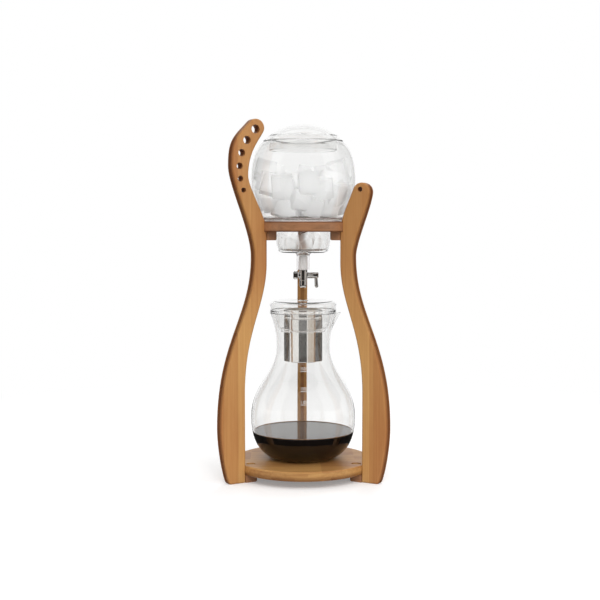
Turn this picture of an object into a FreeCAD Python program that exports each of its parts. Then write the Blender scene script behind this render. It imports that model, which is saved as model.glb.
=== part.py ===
"""Cold drip coffee tower: a bamboo stand with three ogee posts, an ice vessel, a drip valve and a carafe.

Millimetres, +Z up, front towards -Y. The origin lies under the middle of the bounding box, on the floor.
The tower's own axis is vertical through X = 0 and a little in front of the origin, because the rear post
reaches further back than the base disc reaches forward.
"""
import FreeCAD, Part
import enum
import math
import os
import re
import Sketcher

Vector = FreeCAD.Vector
ORIGIN = -1
PointOf = enum.IntEnum("PointOf", "START END CENTRE")
QUARTER_INSET = f"{1 - math.sqrt(0.5):.6f}"  # how far a quarter circle's middle is inset, by its radius

SIZES = [
    # posts, measured outwards from the tower's axis ("reach") and up from the floor ("level")
    ("board", 14, "thickness of the posts, cleats and foot blocks"),
    ("board_round", 2.6, "rounding along the posts' edges"),
    ("foot_reach", 119.5, "outer edge of a post at the floor"),
    ("foot_corner", 4, "rounding of a post's outer bottom corner"),
    ("post_reach", 130.6, "outermost point of a post"),
    ("belly_level", 75, "level of that outermost point"),
    ("waist_inside", 60, "inner edge at the waist"),
    ("waist_width", 18.8, "width of a post at its waist"),
    ("waist_level", 304, "level of the waist"),
    ("shoulder_reach", 112.5, "outer edge at the tall post's shoulder"),
    ("shoulder_level", 424, "level of the shoulder"),
    ("shoulder_width", 24.9, "width of the tall post at its shoulder"),
    ("shoulder_drop", 13, "the shoulder's inner edge below its outer edge"),
    ("crook_inset", 8, "from the shoulder inwards to where the hook turns in"),
    ("crook_rise", 37, "from the shoulder up to where the hook turns in"),
    ("eye_inset", 37, "from the shoulder inwards to the centre of the tall post's round end"),
    ("eye_rise", 50.4, "from the shoulder up to the centre of the tall post's round end"),
    ("eye_radius", 12.2, "radius of the tall post's round end"),
    ("head_reach", 91, "centre of a short post's round end"),
    ("head_level", 389.5, "level of a short post's round end"),
    ("head_radius", 12.7, "radius of a short post's round end"),
    ("leg_level", 120, "level up to which a post's inner edge is straight"),
    ("land_level", 296, "level above which a post's inner edge is straight for the cleat"),
    ("hole_arc_radius", 70.3, "radius of the arc that carries the row of holes"),
    ("hole_edge", 11.2, "from that arc's outermost point to the shoulder's outer edge"),
    ("hole_arc_drop", 4, "centre of that arc below the shoulder"),
    ("hole_smallest", 7, "diameter of the lowest hole"),
    ("hole_growth", 1, "each hole is this much wider than the one below"),
    ("hole_web", 8.2, "wood left between two holes"),
    ("hole_start", -23.5, "direction of the lowest hole, in degrees"),
    ("peg_hole_rise", 3.7, "the short posts' hole above the centre of the round end"),
    ("peg_hole_inset", 1, "the short posts' hole inwards from the centre of the round end"),
    # base disc, foot blocks and their fasteners
    ("base_radius", 94.4, "base disc"),
    ("base_thick", 13, "base disc"),
    ("base_lift", 10.5, "height of the foot blocks under the base disc"),
    ("base_round", 2, "rounding of the base disc's edges"),
    ("seat_depth", 0.8, "how deep the base disc is housed in the posts"),
    ("foot_block_length", 17, "foot block, from its inner end to the post"),
    ("block_round", 2.5, "rounding of a block's free lower end"),
    ("plug_edge", 5.5, "wood between a plug's hole and the base disc's edge"),
    ("plug_radius", 6.5, "wood plug over a screw"),
    ("plug_thick", 2.6, "wood plug"),
    ("plug_recess", 1.2, "how far a plug lies below the base disc's top"),
    ("plug_gap", 0.05, "round a plug, dowel or screw in its hole"),
    ("base_screw_head", 4, "head radius"),
    ("base_screw_head_thick", 2.6, "head height"),
    ("base_screw_radius", 2, "shank radius"),
    ("base_screw_length", 14, "shank length"),
    ("screw_point", 2.5, "length of a screw's point"),
    ("pilot_extra", 0.5, "a pilot hole is this much deeper than the screw"),
    ("dowel_clear", 2, "wood between a screw and the end of a dowel"),
    ("foot_dowel_length", 16, "foot dowel"),
    ("foot_dowel_radius", 2.5, "foot dowel"),
    # shelf ring, cleats and their fasteners
    ("shelf_housing", 5, "how deep the shelf ring is housed in the posts"),
    ("neck_clear", 2.1, "between the vessel's neck and the shelf ring"),
    ("shelf_level", 337, "underside of the shelf ring"),
    ("shelf_thick", 13.5, "shelf ring"),
    ("shelf_round", 1.5, "rounding of the shelf ring's edges"),
    ("cleat_length", 14.3, "cleat, from its inner end to the post"),
    ("cleat_thick", 11.5, "height of a cleat"),
    ("shelf_screw_inset", 4.8, "from a cleat's inner end to its screw"),
    ("shelf_screw_head", 3.6, "countersunk head radius"),
    ("shelf_screw_head_thick", 1.9, "countersunk head height"),
    ("shelf_screw_radius", 1.7, "shank radius"),
    ("shelf_screw_length", 21, "whole screw"),
    ("cleat_dowel_length", 14, "cleat dowel"),
    ("cleat_dowel_radius", 2.5, "cleat dowel"),
    # ice vessel and its lid
    ("gasket_inside", 44, "silicone ring under the vessel"),
    ("gasket_outside", 54, "silicone ring under the vessel"),
    ("gasket_thick", 1.5, "silicone ring under the vessel"),
    ("gasket_round", 0.5, "rounding of the silicone ring's edges"),
    ("vessel_wall", 2.2, "glass of the ice vessel"),
    ("vessel_mouth", 54.6, "outside of the vessel's mouth"),
    ("vessel_mouth_level", 459.3, "vessel's ground rim"),
    ("vessel_belly", 72.2, "widest radius of the vessel"),
    ("vessel_belly_level", 403, "level of the vessel's widest point"),
    ("vessel_heel", 53, "radius of the vessel's flat bottom"),
    ("vessel_flank", 60.6, "radius above the heel's corner"),
    ("vessel_flank_rise", 10, "height of the heel's corner"),
    ("neck_top", 38.4, "neck just under the shelf's top"),
    ("neck_corner", 3, "corner between the vessel's bottom and its neck"),
    ("neck_foot", 36.6, "neck above its bottom corner"),
    ("neck_foot_level", 317.5, "level of that point"),
    ("neck_floor", 29.5, "radius where the neck's bottom starts"),
    ("neck_floor_level", 308.3, "level of the neck's bottom"),
    ("neck_floor_fall", 1, "fall of the neck's bottom towards the spout"),
    ("spout_radius", 9, "glass spout under the neck"),
    ("spout_end", 284.9, "level of the spout's end"),
    ("spout_corner", 3.5, "fillet between the neck's bottom and the spout"),
    ("dome_radius", 77.5, "curvature of the dome lid"),
    ("dome_wall", 2, "glass of the dome lid"),
    ("dome_edge", 0.9, "height of the dome lid's upright edge"),
    ("skirt_radius", 46.5, "skirt inside the dome lid"),
    ("skirt_depth", 12.5, "skirt below the lid's edge"),
    ("skirt_bite", 0.3, "how far the skirt runs into the dome's wall"),
    ("rest_gap", 0.05, "between two glass pieces that rest on each other"),
    # drip valve, placed from the vessel's spout and the spindle's axis
    ("stopper_gap", 0.1, "squeeze allowance between the stopper and the spout"),
    ("stopper_length", 19, "silicone stopper"),
    ("stopper_taper", 0.8, "the stopper narrows by this much upwards"),
    ("stopper_bevel", 1, "bevel of the stopper's upper edge"),
    ("inlet_radius", 2.9, "steel tube through the stopper"),
    ("inlet_length", 22, "steel tube above the valve body"),
    ("inlet_bore", 1.5, "water passage"),
    ("valve_radius", 5.6, "valve body"),
    ("valve_bevel", 0.8, "edges of the valve body"),
    ("valve_drop", 7.9, "from the top of the valve body to the spindle's axis"),
    ("valve_tail", 7.2, "from the spindle's axis to the valve body's foot"),
    ("spindle_radius", 2.2, "spindle"),
    ("spindle_gap", 0.05, "running clearance round the spindle"),
    ("spindle_bevel", 0.4, "bevels of the spindle's ends"),
    ("blind_end", 1, "metal left over the spindle's ends in the nut and the lever"),
    ("spindle_flat", 0.9, "radius of the spindle's cross hole"),
    ("boss_radius", 4.2, "side bosses of the valve body"),
    ("left_boss", 6.4, "end of the left boss"),
    ("barrel_start", 5, "inner end of the ribbed barrel"),
    ("barrel_end", 13.6, "outer end of the ribbed barrel"),
    ("barrel_radius", 4.3, "ribbed barrel"),
    ("barrel_neck", 1, "plain stretch between the valve body and the first groove"),
    ("barrel_rib", 0.35, "depth of the grooves round the barrel"),
    ("washer_thick", 0.8, "washer under the nut"),
    ("nut_radius", 4.8, "nut across its flats, half"),
    ("nut_thick", 6.2, "domed nut on the spindle's left end"),
    ("nut_crown", 2, "how far the crown's slope runs along the nut"),
    ("nut_crown_inset", 0.6, "the crown's flat end inside the nut's flats"),
    ("side_gap", 0.1, "end play of the spindle"),
    ("hub_radius", 4.2, "lever's hub"),
    ("hub_length", 7.4, "lever's hub"),
    ("lever_reach", 17.3, "from the spindle's axis to the lever's tip"),
    ("lever_root", 4.6, "lever's width at its hub"),
    ("lever_tip", 3.6, "lever's width at its tip"),
    ("lever_lean", 1.5, "the lever's tip stands this much further out"),
    ("lever_thick", 6, "lever across its flat"),
    ("tip_radius", 5.1, "outlet tip"),
    ("tip_end_radius", 3.6, "end face of the outlet tip"),
    ("tip_length", 9.7, "outlet tip below the valve body"),
    ("tip_straight", 5.6, "straight stretch of the outlet tip"),
    ("tip_shank", 2.8, "outlet tip's shank in the valve body"),
    ("tip_shank_length", 3.4, "outlet tip's shank"),
    # carafe
    ("carafe_wall", 1.8, "glass of the carafe"),
    ("carafe_floor", 2.4, "glass of the carafe's bottom"),
    ("carafe_foot", 38, "radius of the carafe's flat bottom"),
    ("carafe_belly", 72.1, "widest radius of the carafe"),
    ("carafe_belly_rise", 58, "from the carafe's bottom to its widest point"),
    ("carafe_neck", 37.1, "narrowest radius of the carafe's neck"),
    ("carafe_neck_rise", 154.5, "from the carafe's bottom to its narrowest point"),
    ("carafe_mouth", 45.8, "outside of the carafe's mouth"),
    ("carafe_height", 202.5, "carafe without its lid"),
    ("lip_reach", 52.4, "pouring lip from the carafe's axis"),
    ("lip_radius", 9, "pouring lip's half width at the rim"),
    ("lip_root", 2, "pouring lip's radius at its root"),
    ("lip_drop", 31, "pouring lip's root below the rim"),
    ("lip_spare", 8, "the lip's cone runs this far past the rim before it is cut level"),
    ("lip_tilt", 18, "pouring lip's axis, in degrees from the vertical"),
    # filter holder, filter and carafe lid
    ("holder_wall", 1.8, "glass of the filter holder"),
    ("holder_flange", 45, "flange that rests on the carafe's rim"),
    ("holder_flange_thick", 3.4, "flange"),
    ("holder_flange_round", 0.6, "bulge of the flange's edge"),
    ("holder_skirt", 39.1, "outside of the skirt under the flange"),
    ("holder_waist", 34.3, "outside of the skirt near its end"),
    ("holder_waist_drop", 22, "from the flange's underside to the skirt's waist"),
    ("holder_ring", 31, "outside of the ring at the skirt's end"),
    ("holder_drop", 26, "from the flange's underside to the ring's underside"),
    ("holder_ring_thick", 1.6, "ring at the skirt's end"),
    ("filter_radius", 27, "steel filter"),
    ("filter_wall", 0.9, "sheet of the steel filter"),
    ("filter_gap", 0.5, "between the filter and the holder's ring"),
    ("filter_drop", 43, "filter below the holder's ring"),
    ("filter_bead", 1.6, "bead that rests on the holder's ring"),
    ("filter_cup_height", 16.5, "filter above its bead"),
    ("filter_foot_width", 4, "ledge that carries the bottom screen"),
    ("filter_foot_round", 1.2, "rounding of the filter's lower edge"),
    ("cap_height", 12.4, "spreader cap"),
    ("cap_overlap", 4, "spreader cap's spigot inside the filter"),
    ("cap_gap", 0.1, "between the cap's spigot and the filter"),
    ("cap_lip", 0.8, "how far the rolled edges of the spreader cap stand out"),
    ("cap_band", 2.4, "height of the cap's lower rolled edge"),
    ("cap_brim", 4.6, "height of the cap's upper rolled edge"),
    ("cap_ledge", 2, "ledge that carries the spreader plate"),
    ("screen_thick", 0.9, "perforated steel screens"),
    ("screen_hole", 1.2, "radius of a hole in the spreader"),
    ("screen_pitch", 5.6, "distance between rings of holes"),
    ("strainer_hole", 0.8, "radius of a hole in the filter's bottom screen"),
    ("lid_radius", 45.9, "carafe lid"),
    ("lid_height", 12.6, "carafe lid"),
    ("lid_wall", 2.4, "glass of the carafe lid"),
    ("lid_shoulder", 5.5, "rounding of the carafe lid's top edge"),
    ("lid_edge_round", 0.8, "rounding of the carafe lid's lower edge"),
    ("lid_top", 40.4, "radius of the lid's top face"),
    ("drip_hole", 5, "radius of the hole that the drops fall through"),
    ("drip_rim", 2.2, "width of the thickened rim round that hole"),
    ("drip_rim_rise", 0.7, "how far that rim stands up"),
    ("drip_rim_fall", 0.6, "how far that rim reaches below the lid's underside"),
]

POSTS = [("left", 210), ("right", -30), ("rear", 90)]
AXIS_DEPTH = "-(post_reach - base_radius) / 2"
BASE_TOP = "base_lift + base_thick"
SHELF_TOP = "shelf_level + shelf_thick"
VESSEL_FLOOR = SHELF_TOP + " + gasket_thick"
SPINDLE_LEVEL = "spout_end - valve_drop"
CARAFE_RIM = BASE_TOP + " + carafe_height"
HOLDER_SEAT = CARAFE_RIM + " + rest_gap"
LID_SEAT = HOLDER_SEAT + " + holder_flange_thick + rest_gap"
RING_TOP = HOLDER_SEAT + " - holder_drop + holder_ring_thick"
FILTER_SEAT = RING_TOP + " + rest_gap"
WAIST_REACH = "waist_inside + waist_width"
SHOULDER_INSIDE = "shoulder_reach - shoulder_width"
EYE_REACH = "shoulder_reach - eye_inset"
EYE_LEVEL = "shoulder_level + eye_rise"
POST_FOOT = "base_radius - seat_depth"
PLUG_REACH = "base_radius - plug_edge - plug_radius"
PLUG_BORE = "plug_recess + plug_thick + base_screw_head_thick"
BASE_SCREW_SEAT = f"{BASE_TOP} - ({PLUG_BORE})"
FOOT_DOWEL_INSIDE = PLUG_REACH + " + base_screw_radius + dowel_clear"
SHELF_RADIUS = "waist_inside + shelf_housing"
CLEAT_INSIDE = "waist_inside - cleat_length"
SHELF_SCREW_REACH = CLEAT_INSIDE + " + shelf_screw_inset"
CLEAT_DOWEL_INSIDE = SHELF_SCREW_REACH + " + shelf_screw_radius + dowel_clear"

UP = Vector(0, 0, 1)
OUTWARD = Vector(1, 0, 0)

doc = FreeCAD.newDocument("cold_drip_tower")
sheet = doc.addObject("Spreadsheet::Sheet", "sizes")
for row, (alias, number, note) in enumerate(SIZES, start=1):
    sheet.set(f"A{row}", alias)
    sheet.set(f"B{row}", str(number))
    sheet.set(f"C{row}", note)
    sheet.setAlias(f"B{row}", alias)
doc.recompute()


# ---------------------------------------------------------------- helpers

def in_sheet(expression):
    """The expression with every size name read from the sheet."""
    return re.sub(r"\b(?!(?:cos|sin|tan|sqrt)\b)([a-z]\w*)", r"sizes.\1", str(expression))


def value(expression):
    """What the expression comes to with the sheet's sizes."""
    return float(sheet.evalExpression(in_sheet(expression)))


def tie(item, **properties):
    """Bind properties of an object to expressions; a double underscore stands for a dot."""
    for name, expression in properties.items():
        item.setExpression(name.replace("__", "."), in_sheet(expression))


def origin_item(body, role):
    return next(item for item in body.Origin.OriginFeatures if item.Role == role)


def new_body(label, turn=0):
    """A body whose own Z axis is the tower's axis, turned about it."""
    body = doc.addObject("PartDesign::Body", label)
    body.Placement.Rotation = FreeCAD.Rotation(UP, turn)
    tie(body, Placement__Base__y=AXIS_DEPTH)
    return body


def heading(degrees):
    return Vector(math.cos(math.radians(degrees)), math.sin(math.radians(degrees)), 0)


class Outline:
    """A closed outline in a sketch; its corners are bound to the sheet."""

    def __init__(self, body, name, plane="XZ_Plane", depth="0"):
        self.sketch = body.newObject("Sketcher::SketchObject", name)
        self.sketch.AttachmentSupport = (origin_item(body, plane), [""])
        self.sketch.MapMode = "FlatFace"
        tie(self.sketch, AttachmentOffset__Base__z=depth)

    def bind(self, kind, *place, to):
        number = self.sketch.addConstraint(Sketcher.Constraint(kind, *place, value(to)))
        self.sketch.setExpression(f"Constraints[{number}]", in_sheet(to))

    def draw(self, steps):
        """Draw steps of the form (x, y), then (x, y, kind, ...) back to the first point.

        kind is "line", "arc" with a point to pass through, or "bend" with the heading at the
        start, the heading at the end and how full the curve is after the one and before the other.
        """
        start = steps[0][:2]
        here = Vector(value(start[0]), value(start[1]), 0)
        edges = []
        starts = [start]
        ends = []
        for x, y, kind, *shape in steps[1:]:
            there = Vector(value(x), value(y), 0)
            ends.append((PointOf.START, PointOf.END))
            if kind == "line":
                edges.append(Part.LineSegment(here, there))
            elif kind == "arc":
                middle = Vector(value(shape[0]), value(shape[1]), 0)
                edges.append(Part.Arc(here, middle, there))
                if (middle - here).cross(there - middle).z < 0:
                    ends[-1] = (PointOf.END, PointOf.START)  # a sketch counts an arc's ends anticlockwise
            else:
                leave, arrive, *fullness = shape
                before, after = fullness or (0.36, 0.36)
                chord = here.distanceToPoint(there)
                curve = Part.BezierCurve()
                curve.setPoles([here, here + heading(leave) * chord * before,
                                there - heading(arrive) * chord * after, there])
                edges.append(curve.toBSpline())
            starts.append((x, y))
            here = there
        first = self.sketch.GeometryCount
        self.sketch.addGeometry(edges, False)
        for number in range(len(edges)):
            following = (number + 1) % len(edges)
            meeting = (first + number, ends[number][1], first + following, ends[following][0])
            self.sketch.addConstraint(Sketcher.Constraint("Coincident", *meeting))
        for number, (x, y) in enumerate(starts[:-1]):
            self.bind("DistanceX", ORIGIN, PointOf.START, first + number, ends[number][0], to=x)
            self.bind("DistanceY", ORIGIN, PointOf.START, first + number, ends[number][0], to=y)
        return self

    def circle(self, x, y, radius):
        centre = Vector(value(x), value(y), 0)
        number = self.sketch.addGeometry(Part.Circle(centre, UP, value(radius)), False)
        self.bind("Radius", number, to=radius)
        self.bind("DistanceX", ORIGIN, PointOf.START, number, PointOf.CENTRE, to=x)
        self.bind("DistanceY", ORIGIN, PointOf.START, number, PointOf.CENTRE, to=y)
        return self

    def box(self, left, low, right, high):
        corners = [(right, low, "line"), (right, high, "line"), (left, high, "line"), (left, low, "line")]
        return self.draw([(left, low)] + corners)


def pad(body, outline, length, name="pad", symmetric=False, reverse=False):
    feature = body.newObject("PartDesign::Pad", name)
    feature.Profile = outline.sketch
    feature.SideType = "Symmetric" if symmetric else "One side"
    feature.Reversed = reverse
    tie(feature, Length=length)
    return feature


def revolve(body, outline, name="revolution"):
    feature = body.newObject("PartDesign::Revolution", name)
    feature.Profile = outline.sketch
    feature.ReferenceAxis = (outline.sketch, ["V_Axis"])
    feature.Angle = 360
    return feature


def groove(body, outline, name="groove"):
    feature = body.newObject("PartDesign::Groove", name)
    feature.Profile = outline.sketch
    feature.ReferenceAxis = (outline.sketch, ["V_Axis"])
    feature.Angle = 360
    return feature


def rod(body, kind, name, radius, length, x="0", y="0", z="0", along=UP):
    """A cylinder added to a body or cut from it; kind is Additive or Subtractive."""
    feature = body.newObject(f"PartDesign::{kind}Cylinder", name)
    feature.AttachmentSupport = (origin_item(body, "XY_Plane"), [""])
    feature.MapMode = "FlatFace"
    feature.AttachmentOffset = FreeCAD.Placement(Vector(), FreeCAD.Rotation(UP, along))
    tie(feature, Radius=radius, Height=length)
    tie(feature, AttachmentOffset__Base__x=x, AttachmentOffset__Base__y=y, AttachmentOffset__Base__z=z)
    return feature


def cone(body, kind, name, low_radius, high_radius, length, x="0", z="0", lean=0):
    """A cone whose axis leans from the vertical towards +X."""
    feature = body.newObject(f"PartDesign::{kind}Cone", name)
    feature.AttachmentSupport = (origin_item(body, "XY_Plane"), [""])
    feature.MapMode = "FlatFace"
    feature.AttachmentOffset = FreeCAD.Placement(Vector(), FreeCAD.Rotation(Vector(0, 1, 0), lean))
    tie(feature, Radius1=low_radius, Radius2=high_radius, Height=length)
    tie(feature, AttachmentOffset__Base__x=x, AttachmentOffset__Base__z=z)
    return feature


def ball(body, kind, name, radius, z, lowest):
    """A ball on the body's axis, cut off flat at its lowest latitude."""
    feature = body.newObject(f"PartDesign::{kind}Sphere", name)
    feature.AttachmentSupport = (origin_item(body, "XY_Plane"), [""])
    feature.MapMode = "FlatFace"
    feature.Angle1 = lowest
    tie(feature, Radius=radius, AttachmentOffset__Base__z=z)
    return feature


def three_times(body, features):
    """Repeat features at the three posts; the body's own X axis points at the first of them."""
    doc.recompute()
    pattern = body.newObject("PartDesign::PolarPattern", "at_each_post")
    pattern.Originals = features
    pattern.Axis = (origin_item(body, "Z_Axis"), [""])
    pattern.Angle = 360
    pattern.Occurrences = len(POSTS)
    body.Tip = pattern
    return pattern


def round_edges(body, feature, radius, chosen, kind="Fillet"):
    """Fillet or chamfer the feature's edges that pass the test."""
    doc.recompute()
    names = [f"Edge{number}" for number, edge in enumerate(feature.Shape.Edges, start=1) if chosen(edge)]
    dressing = body.newObject(f"PartDesign::{kind}", "rounding")
    dressing.Base = (feature, names)
    tie(dressing, **{"Radius" if kind == "Fillet" else "Size": radius})
    body.Tip = dressing
    return dressing


def point_on_circle(reach, level, radius, degrees):
    along = heading(degrees)
    return f"{reach} + {radius} * {along.x:.6f}", f"{level} + {radius} * {along.y:.6f}"


# ---------------------------------------------------------------- bamboo stand

def hole_row():
    """Centres and radii of the tall post's holes, from the lowest and smallest up."""
    turn = value("hole_start")
    for number in range(6):
        x, y = point_on_circle("shoulder_reach - hole_edge - hole_arc_radius",
                               "shoulder_level - hole_arc_drop", "hole_arc_radius", turn)
        yield x, y, f"(hole_smallest + {number} * hole_growth) / 2"
        pitch = value(f"hole_smallest + {number + 0.5} * hole_growth + hole_web")
        turn += math.degrees(pitch / value("hole_arc_radius"))


def make_post(side, turn):
    """One ogee post: tall with a hook and a row of holes on the left, short elsewhere."""
    body = new_body(f"{side}_post", turn)
    outline = Outline(body, "ogee")
    lower_outside = [
        (POST_FOOT, "0"),
        ("foot_reach - foot_corner", "0", "line"),
        ("foot_reach", "foot_corner", "bend", 0, 70),
        ("post_reach", "belly_level", "bend", 70, 90, 0.21, 0.32),
        (WAIST_REACH, "waist_level", "bend", 90, 90, 0.50, 0.35),
    ]
    lower_inside = [
        ("waist_inside", "land_level", "line"),
        (POST_FOOT, "leg_level", "bend", 270, 270, 0.33, 0.49),
        (POST_FOOT, "0", "line"),
    ]
    if side == "left":
        arm_start = point_on_circle(EYE_REACH, EYE_LEVEL, "eye_radius", 43)
        upper = [
            ("shoulder_reach", "shoulder_level", "bend", 90, 90, 0.28, 0.21),
            ("shoulder_reach - crook_inset", "shoulder_level + crook_rise", "bend", 90, 124, 0.45, 0.30),
            (*arm_start, "bend", 124, 133),
            (f"{EYE_REACH} - eye_radius", EYE_LEVEL, "arc", EYE_REACH, f"{EYE_LEVEL} + eye_radius"),
            (SHOULDER_INSIDE, "shoulder_level - shoulder_drop", "bend", 270, 270, 0.14, 0.55),
            ("waist_inside", "shelf_level", "bend", 270, 270, 0.20, 0.25),
        ]
    else:
        head_out = point_on_circle("head_reach", "head_level", "head_radius", -8)
        head_in = point_on_circle("head_reach", "head_level", "head_radius", 158)
        upper = [
            (*head_out, "bend", 90, 82, 0.22, 0.25),
            (*head_in, "arc", "head_reach", "head_level + head_radius"),
            ("waist_inside", "shelf_level", "bend", 248, 270, 0.30, 0.30),
        ]
    outline.draw(lower_outside + upper + lower_inside)
    if side == "left":
        for hole in hole_row():
            outline.circle(*hole)
    else:
        outline.circle("head_reach - peg_hole_inset", "head_level + peg_hole_rise", "hole_smallest / 2")
    blank = pad(body, outline, "board", symmetric=True)
    doc.recompute()
    face = value("board") / 2

    def along_outline(edge):
        box = edge.BoundBox
        flat = box.YLength < 0.01 and abs(abs(box.YMax) - face) < 0.01
        is_hole = edge.Curve.TypeId == "Part::GeomCircle" and edge.isClosed()
        on_inner_land = box.XLength < 0.01 and box.ZLength > 1
        on_floor = box.ZMax < 0.01
        return flat and not is_hole and not on_inner_land and not on_floor

    round_edges(body, blank, "board_round", along_outline)
    rod(body, "Subtractive", "base_housing", "base_radius", "base_thick", z="base_lift")
    rod(body, "Subtractive", "shelf_housing", SHELF_RADIUS, "shelf_thick", z="shelf_level")
    rod(body, "Subtractive", "foot_dowel_hole", "foot_dowel_radius + plug_gap",
        "foot_dowel_length", x=FOOT_DOWEL_INSIDE, z="base_lift / 2", along=OUTWARD)
    rod(body, "Subtractive", "cleat_dowel_hole", "cleat_dowel_radius + plug_gap",
        "cleat_dowel_length", x=CLEAT_DOWEL_INSIDE, z="shelf_level - cleat_thick / 2", along=OUTWARD)
    return body


def make_block(label, turn, inside, outside, low, high):
    """A bamboo block that carries a disc beside a post, with its free lower corner rounded."""
    body = new_body(label, turn)
    outline = Outline(body, "side").draw([
        (f"{inside} + block_round", low),
        (outside, low, "line"),
        (outside, high, "line"),
        (inside, high, "line"),
        (inside, f"{low} + block_round", "line"),
        (f"{inside} + block_round", low, "arc",
         f"{inside} + {QUARTER_INSET} * block_round", f"{low} + {QUARTER_INSET} * block_round"),
    ])
    pad(body, outline, "board", symmetric=True)
    return body


def make_foot_block(side, turn):
    inside = f"{POST_FOOT} - foot_block_length"
    body = make_block(f"{side}_foot_block", turn, inside, POST_FOOT, "0", "base_lift")
    rod(body, "Subtractive", "dowel_hole", "foot_dowel_radius + plug_gap", "foot_dowel_length",
        x=FOOT_DOWEL_INSIDE, z="base_lift / 2", along=OUTWARD)
    rod(body, "Subtractive", "screw_hole", "base_screw_radius + plug_gap", "base_screw_length",
        x=PLUG_REACH, z=f"{BASE_SCREW_SEAT} - base_screw_length - pilot_extra")
    return body


def make_cleat(side, turn):
    low = "shelf_level - cleat_thick"
    body = make_block(f"{side}_cleat", turn, CLEAT_INSIDE, "waist_inside", low, "shelf_level")
    rod(body, "Subtractive", "dowel_hole", "cleat_dowel_radius + plug_gap", "cleat_dowel_length",
        x=CLEAT_DOWEL_INSIDE, z="shelf_level - cleat_thick / 2", along=OUTWARD)
    rod(body, "Subtractive", "screw_hole", "shelf_screw_radius + plug_gap", "shelf_screw_length",
        x=SHELF_SCREW_REACH, z=low)
    cone(body, "Subtractive", "countersink", "shelf_screw_head", "shelf_screw_radius",
         "shelf_screw_head_thick", x=SHELF_SCREW_REACH, z=low)
    return body


def rounded_disc(body, radius, hole, low, thick, corner):
    """A disc, or a ring where it has a hole, with rounded edges."""
    high = f"{low} + {thick}"
    part_way = f"{QUARTER_INSET} * {corner}"
    steps = [
        (hole, low),
        (f"{radius} - {corner}", low, "line"),
        (radius, f"{low} + {corner}", "arc", f"{radius} - {part_way}", f"{low} + {part_way}"),
        (radius, f"{high} - {corner}", "line"),
        (f"{radius} - {corner}", high, "arc", f"{radius} - {part_way}", f"{high} - {part_way}"),
        (hole, high, "line"),
        (hole, low, "line"),
    ]
    return revolve(body, Outline(body, "section").draw(steps))


def make_base_disc():
    body = new_body("base_disc", POSTS[1][1])
    rounded_disc(body, "base_radius", "0", "base_lift", "base_thick", "base_round")
    bore = rod(body, "Subtractive", "plug_hole", "plug_radius + plug_gap", PLUG_BORE,
               x=PLUG_REACH, z=BASE_SCREW_SEAT)
    hole = rod(body, "Subtractive", "screw_hole", "base_screw_radius + plug_gap", "base_thick",
               x=PLUG_REACH, z="base_lift")
    three_times(body, [bore, hole])
    return body


def make_shelf_ring():
    body = new_body("shelf_ring", POSTS[1][1])
    rounded_disc(body, SHELF_RADIUS, "neck_top + neck_clear", "shelf_level", "shelf_thick", "shelf_round")
    hole = rod(body, "Subtractive", "pilot_hole", "shelf_screw_radius + plug_gap",
               "shelf_screw_length - cleat_thick + pilot_extra", x=SHELF_SCREW_REACH, z="shelf_level")
    three_times(body, [hole])
    return body


def make_base_screws():
    body = new_body("base_screws", POSTS[1][1])
    head = rod(body, "Additive", "head", "base_screw_head", "base_screw_head_thick",
               x=PLUG_REACH, z=BASE_SCREW_SEAT)
    shank = rod(body, "Additive", "shank", "base_screw_radius", "base_screw_length - screw_point",
                x=PLUG_REACH, z=f"{BASE_SCREW_SEAT} - base_screw_length + screw_point")
    point = cone(body, "Additive", "point", "base_screw_radius / 4", "base_screw_radius", "screw_point",
                 x=PLUG_REACH, z=f"{BASE_SCREW_SEAT} - base_screw_length")
    three_times(body, [head, shank, point])
    return body


def make_shelf_screws():
    body = new_body("shelf_screws", POSTS[1][1])
    low = "shelf_level - cleat_thick"
    head = cone(body, "Additive", "head", "shelf_screw_head", "shelf_screw_radius",
                "shelf_screw_head_thick", x=SHELF_SCREW_REACH, z=low)
    shank = rod(body, "Additive", "shank", "shelf_screw_radius",
                "shelf_screw_length - shelf_screw_head_thick - screw_point",
                x=SHELF_SCREW_REACH, z=f"{low} + shelf_screw_head_thick")
    point = cone(body, "Additive", "point", "shelf_screw_radius", "shelf_screw_radius / 4", "screw_point",
                 x=SHELF_SCREW_REACH, z=f"{low} + shelf_screw_length - screw_point")
    three_times(body, [head, shank, point])
    return body


def make_pegs(label, radius, length, inside, level, along):
    """Three plugs or dowels, one at each post."""
    body = new_body(label, POSTS[1][1])
    peg = rod(body, "Additive", "peg", radius, length, x=inside, z=level, along=along)
    three_times(body, [peg])
    return body


# ---------------------------------------------------------------- ice vessel and dome lid

def vessel_path(wall):
    """The vessel's side from the mouth down to the spout; wall is how far the glass is inset."""
    floor = f"{VESSEL_FLOOR} + {wall}"
    heel = f"vessel_heel - 0.3 * {wall}"
    return [
        (f"vessel_mouth - {wall}", "vessel_mouth_level"),
        (f"vessel_belly - {wall}", "vessel_belly_level", "bend", -37, -90, 0.32, 0.31),
        (f"vessel_flank - {wall}", f"{VESSEL_FLOOR} + vessel_flank_rise", "bend", -90, -110, 0.40, 0.36),
        (heel, floor, "bend", -110, -180, 0.36, 0.42),
        (f"neck_top - {wall} + neck_corner", floor, "line"),
        (f"neck_top - {wall}", f"{floor} - neck_corner", "bend", -180, -90),
        (f"neck_foot - {wall}", "neck_foot_level", "bend", -90, -104),
        (f"neck_floor - 0.2 * {wall}", f"neck_floor_level + {wall}", "bend", -104, -180, 0.40, 0.36),
        (f"spout_radius - {wall} + spout_corner", f"neck_floor_level - neck_floor_fall + {wall}", "line"),
        (f"spout_radius - {wall}", f"neck_floor_level - neck_floor_fall - spout_corner + {wall}",
         "bend", -180, -90),
        (f"spout_radius - {wall}", "spout_end", "line"),
    ]


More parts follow.
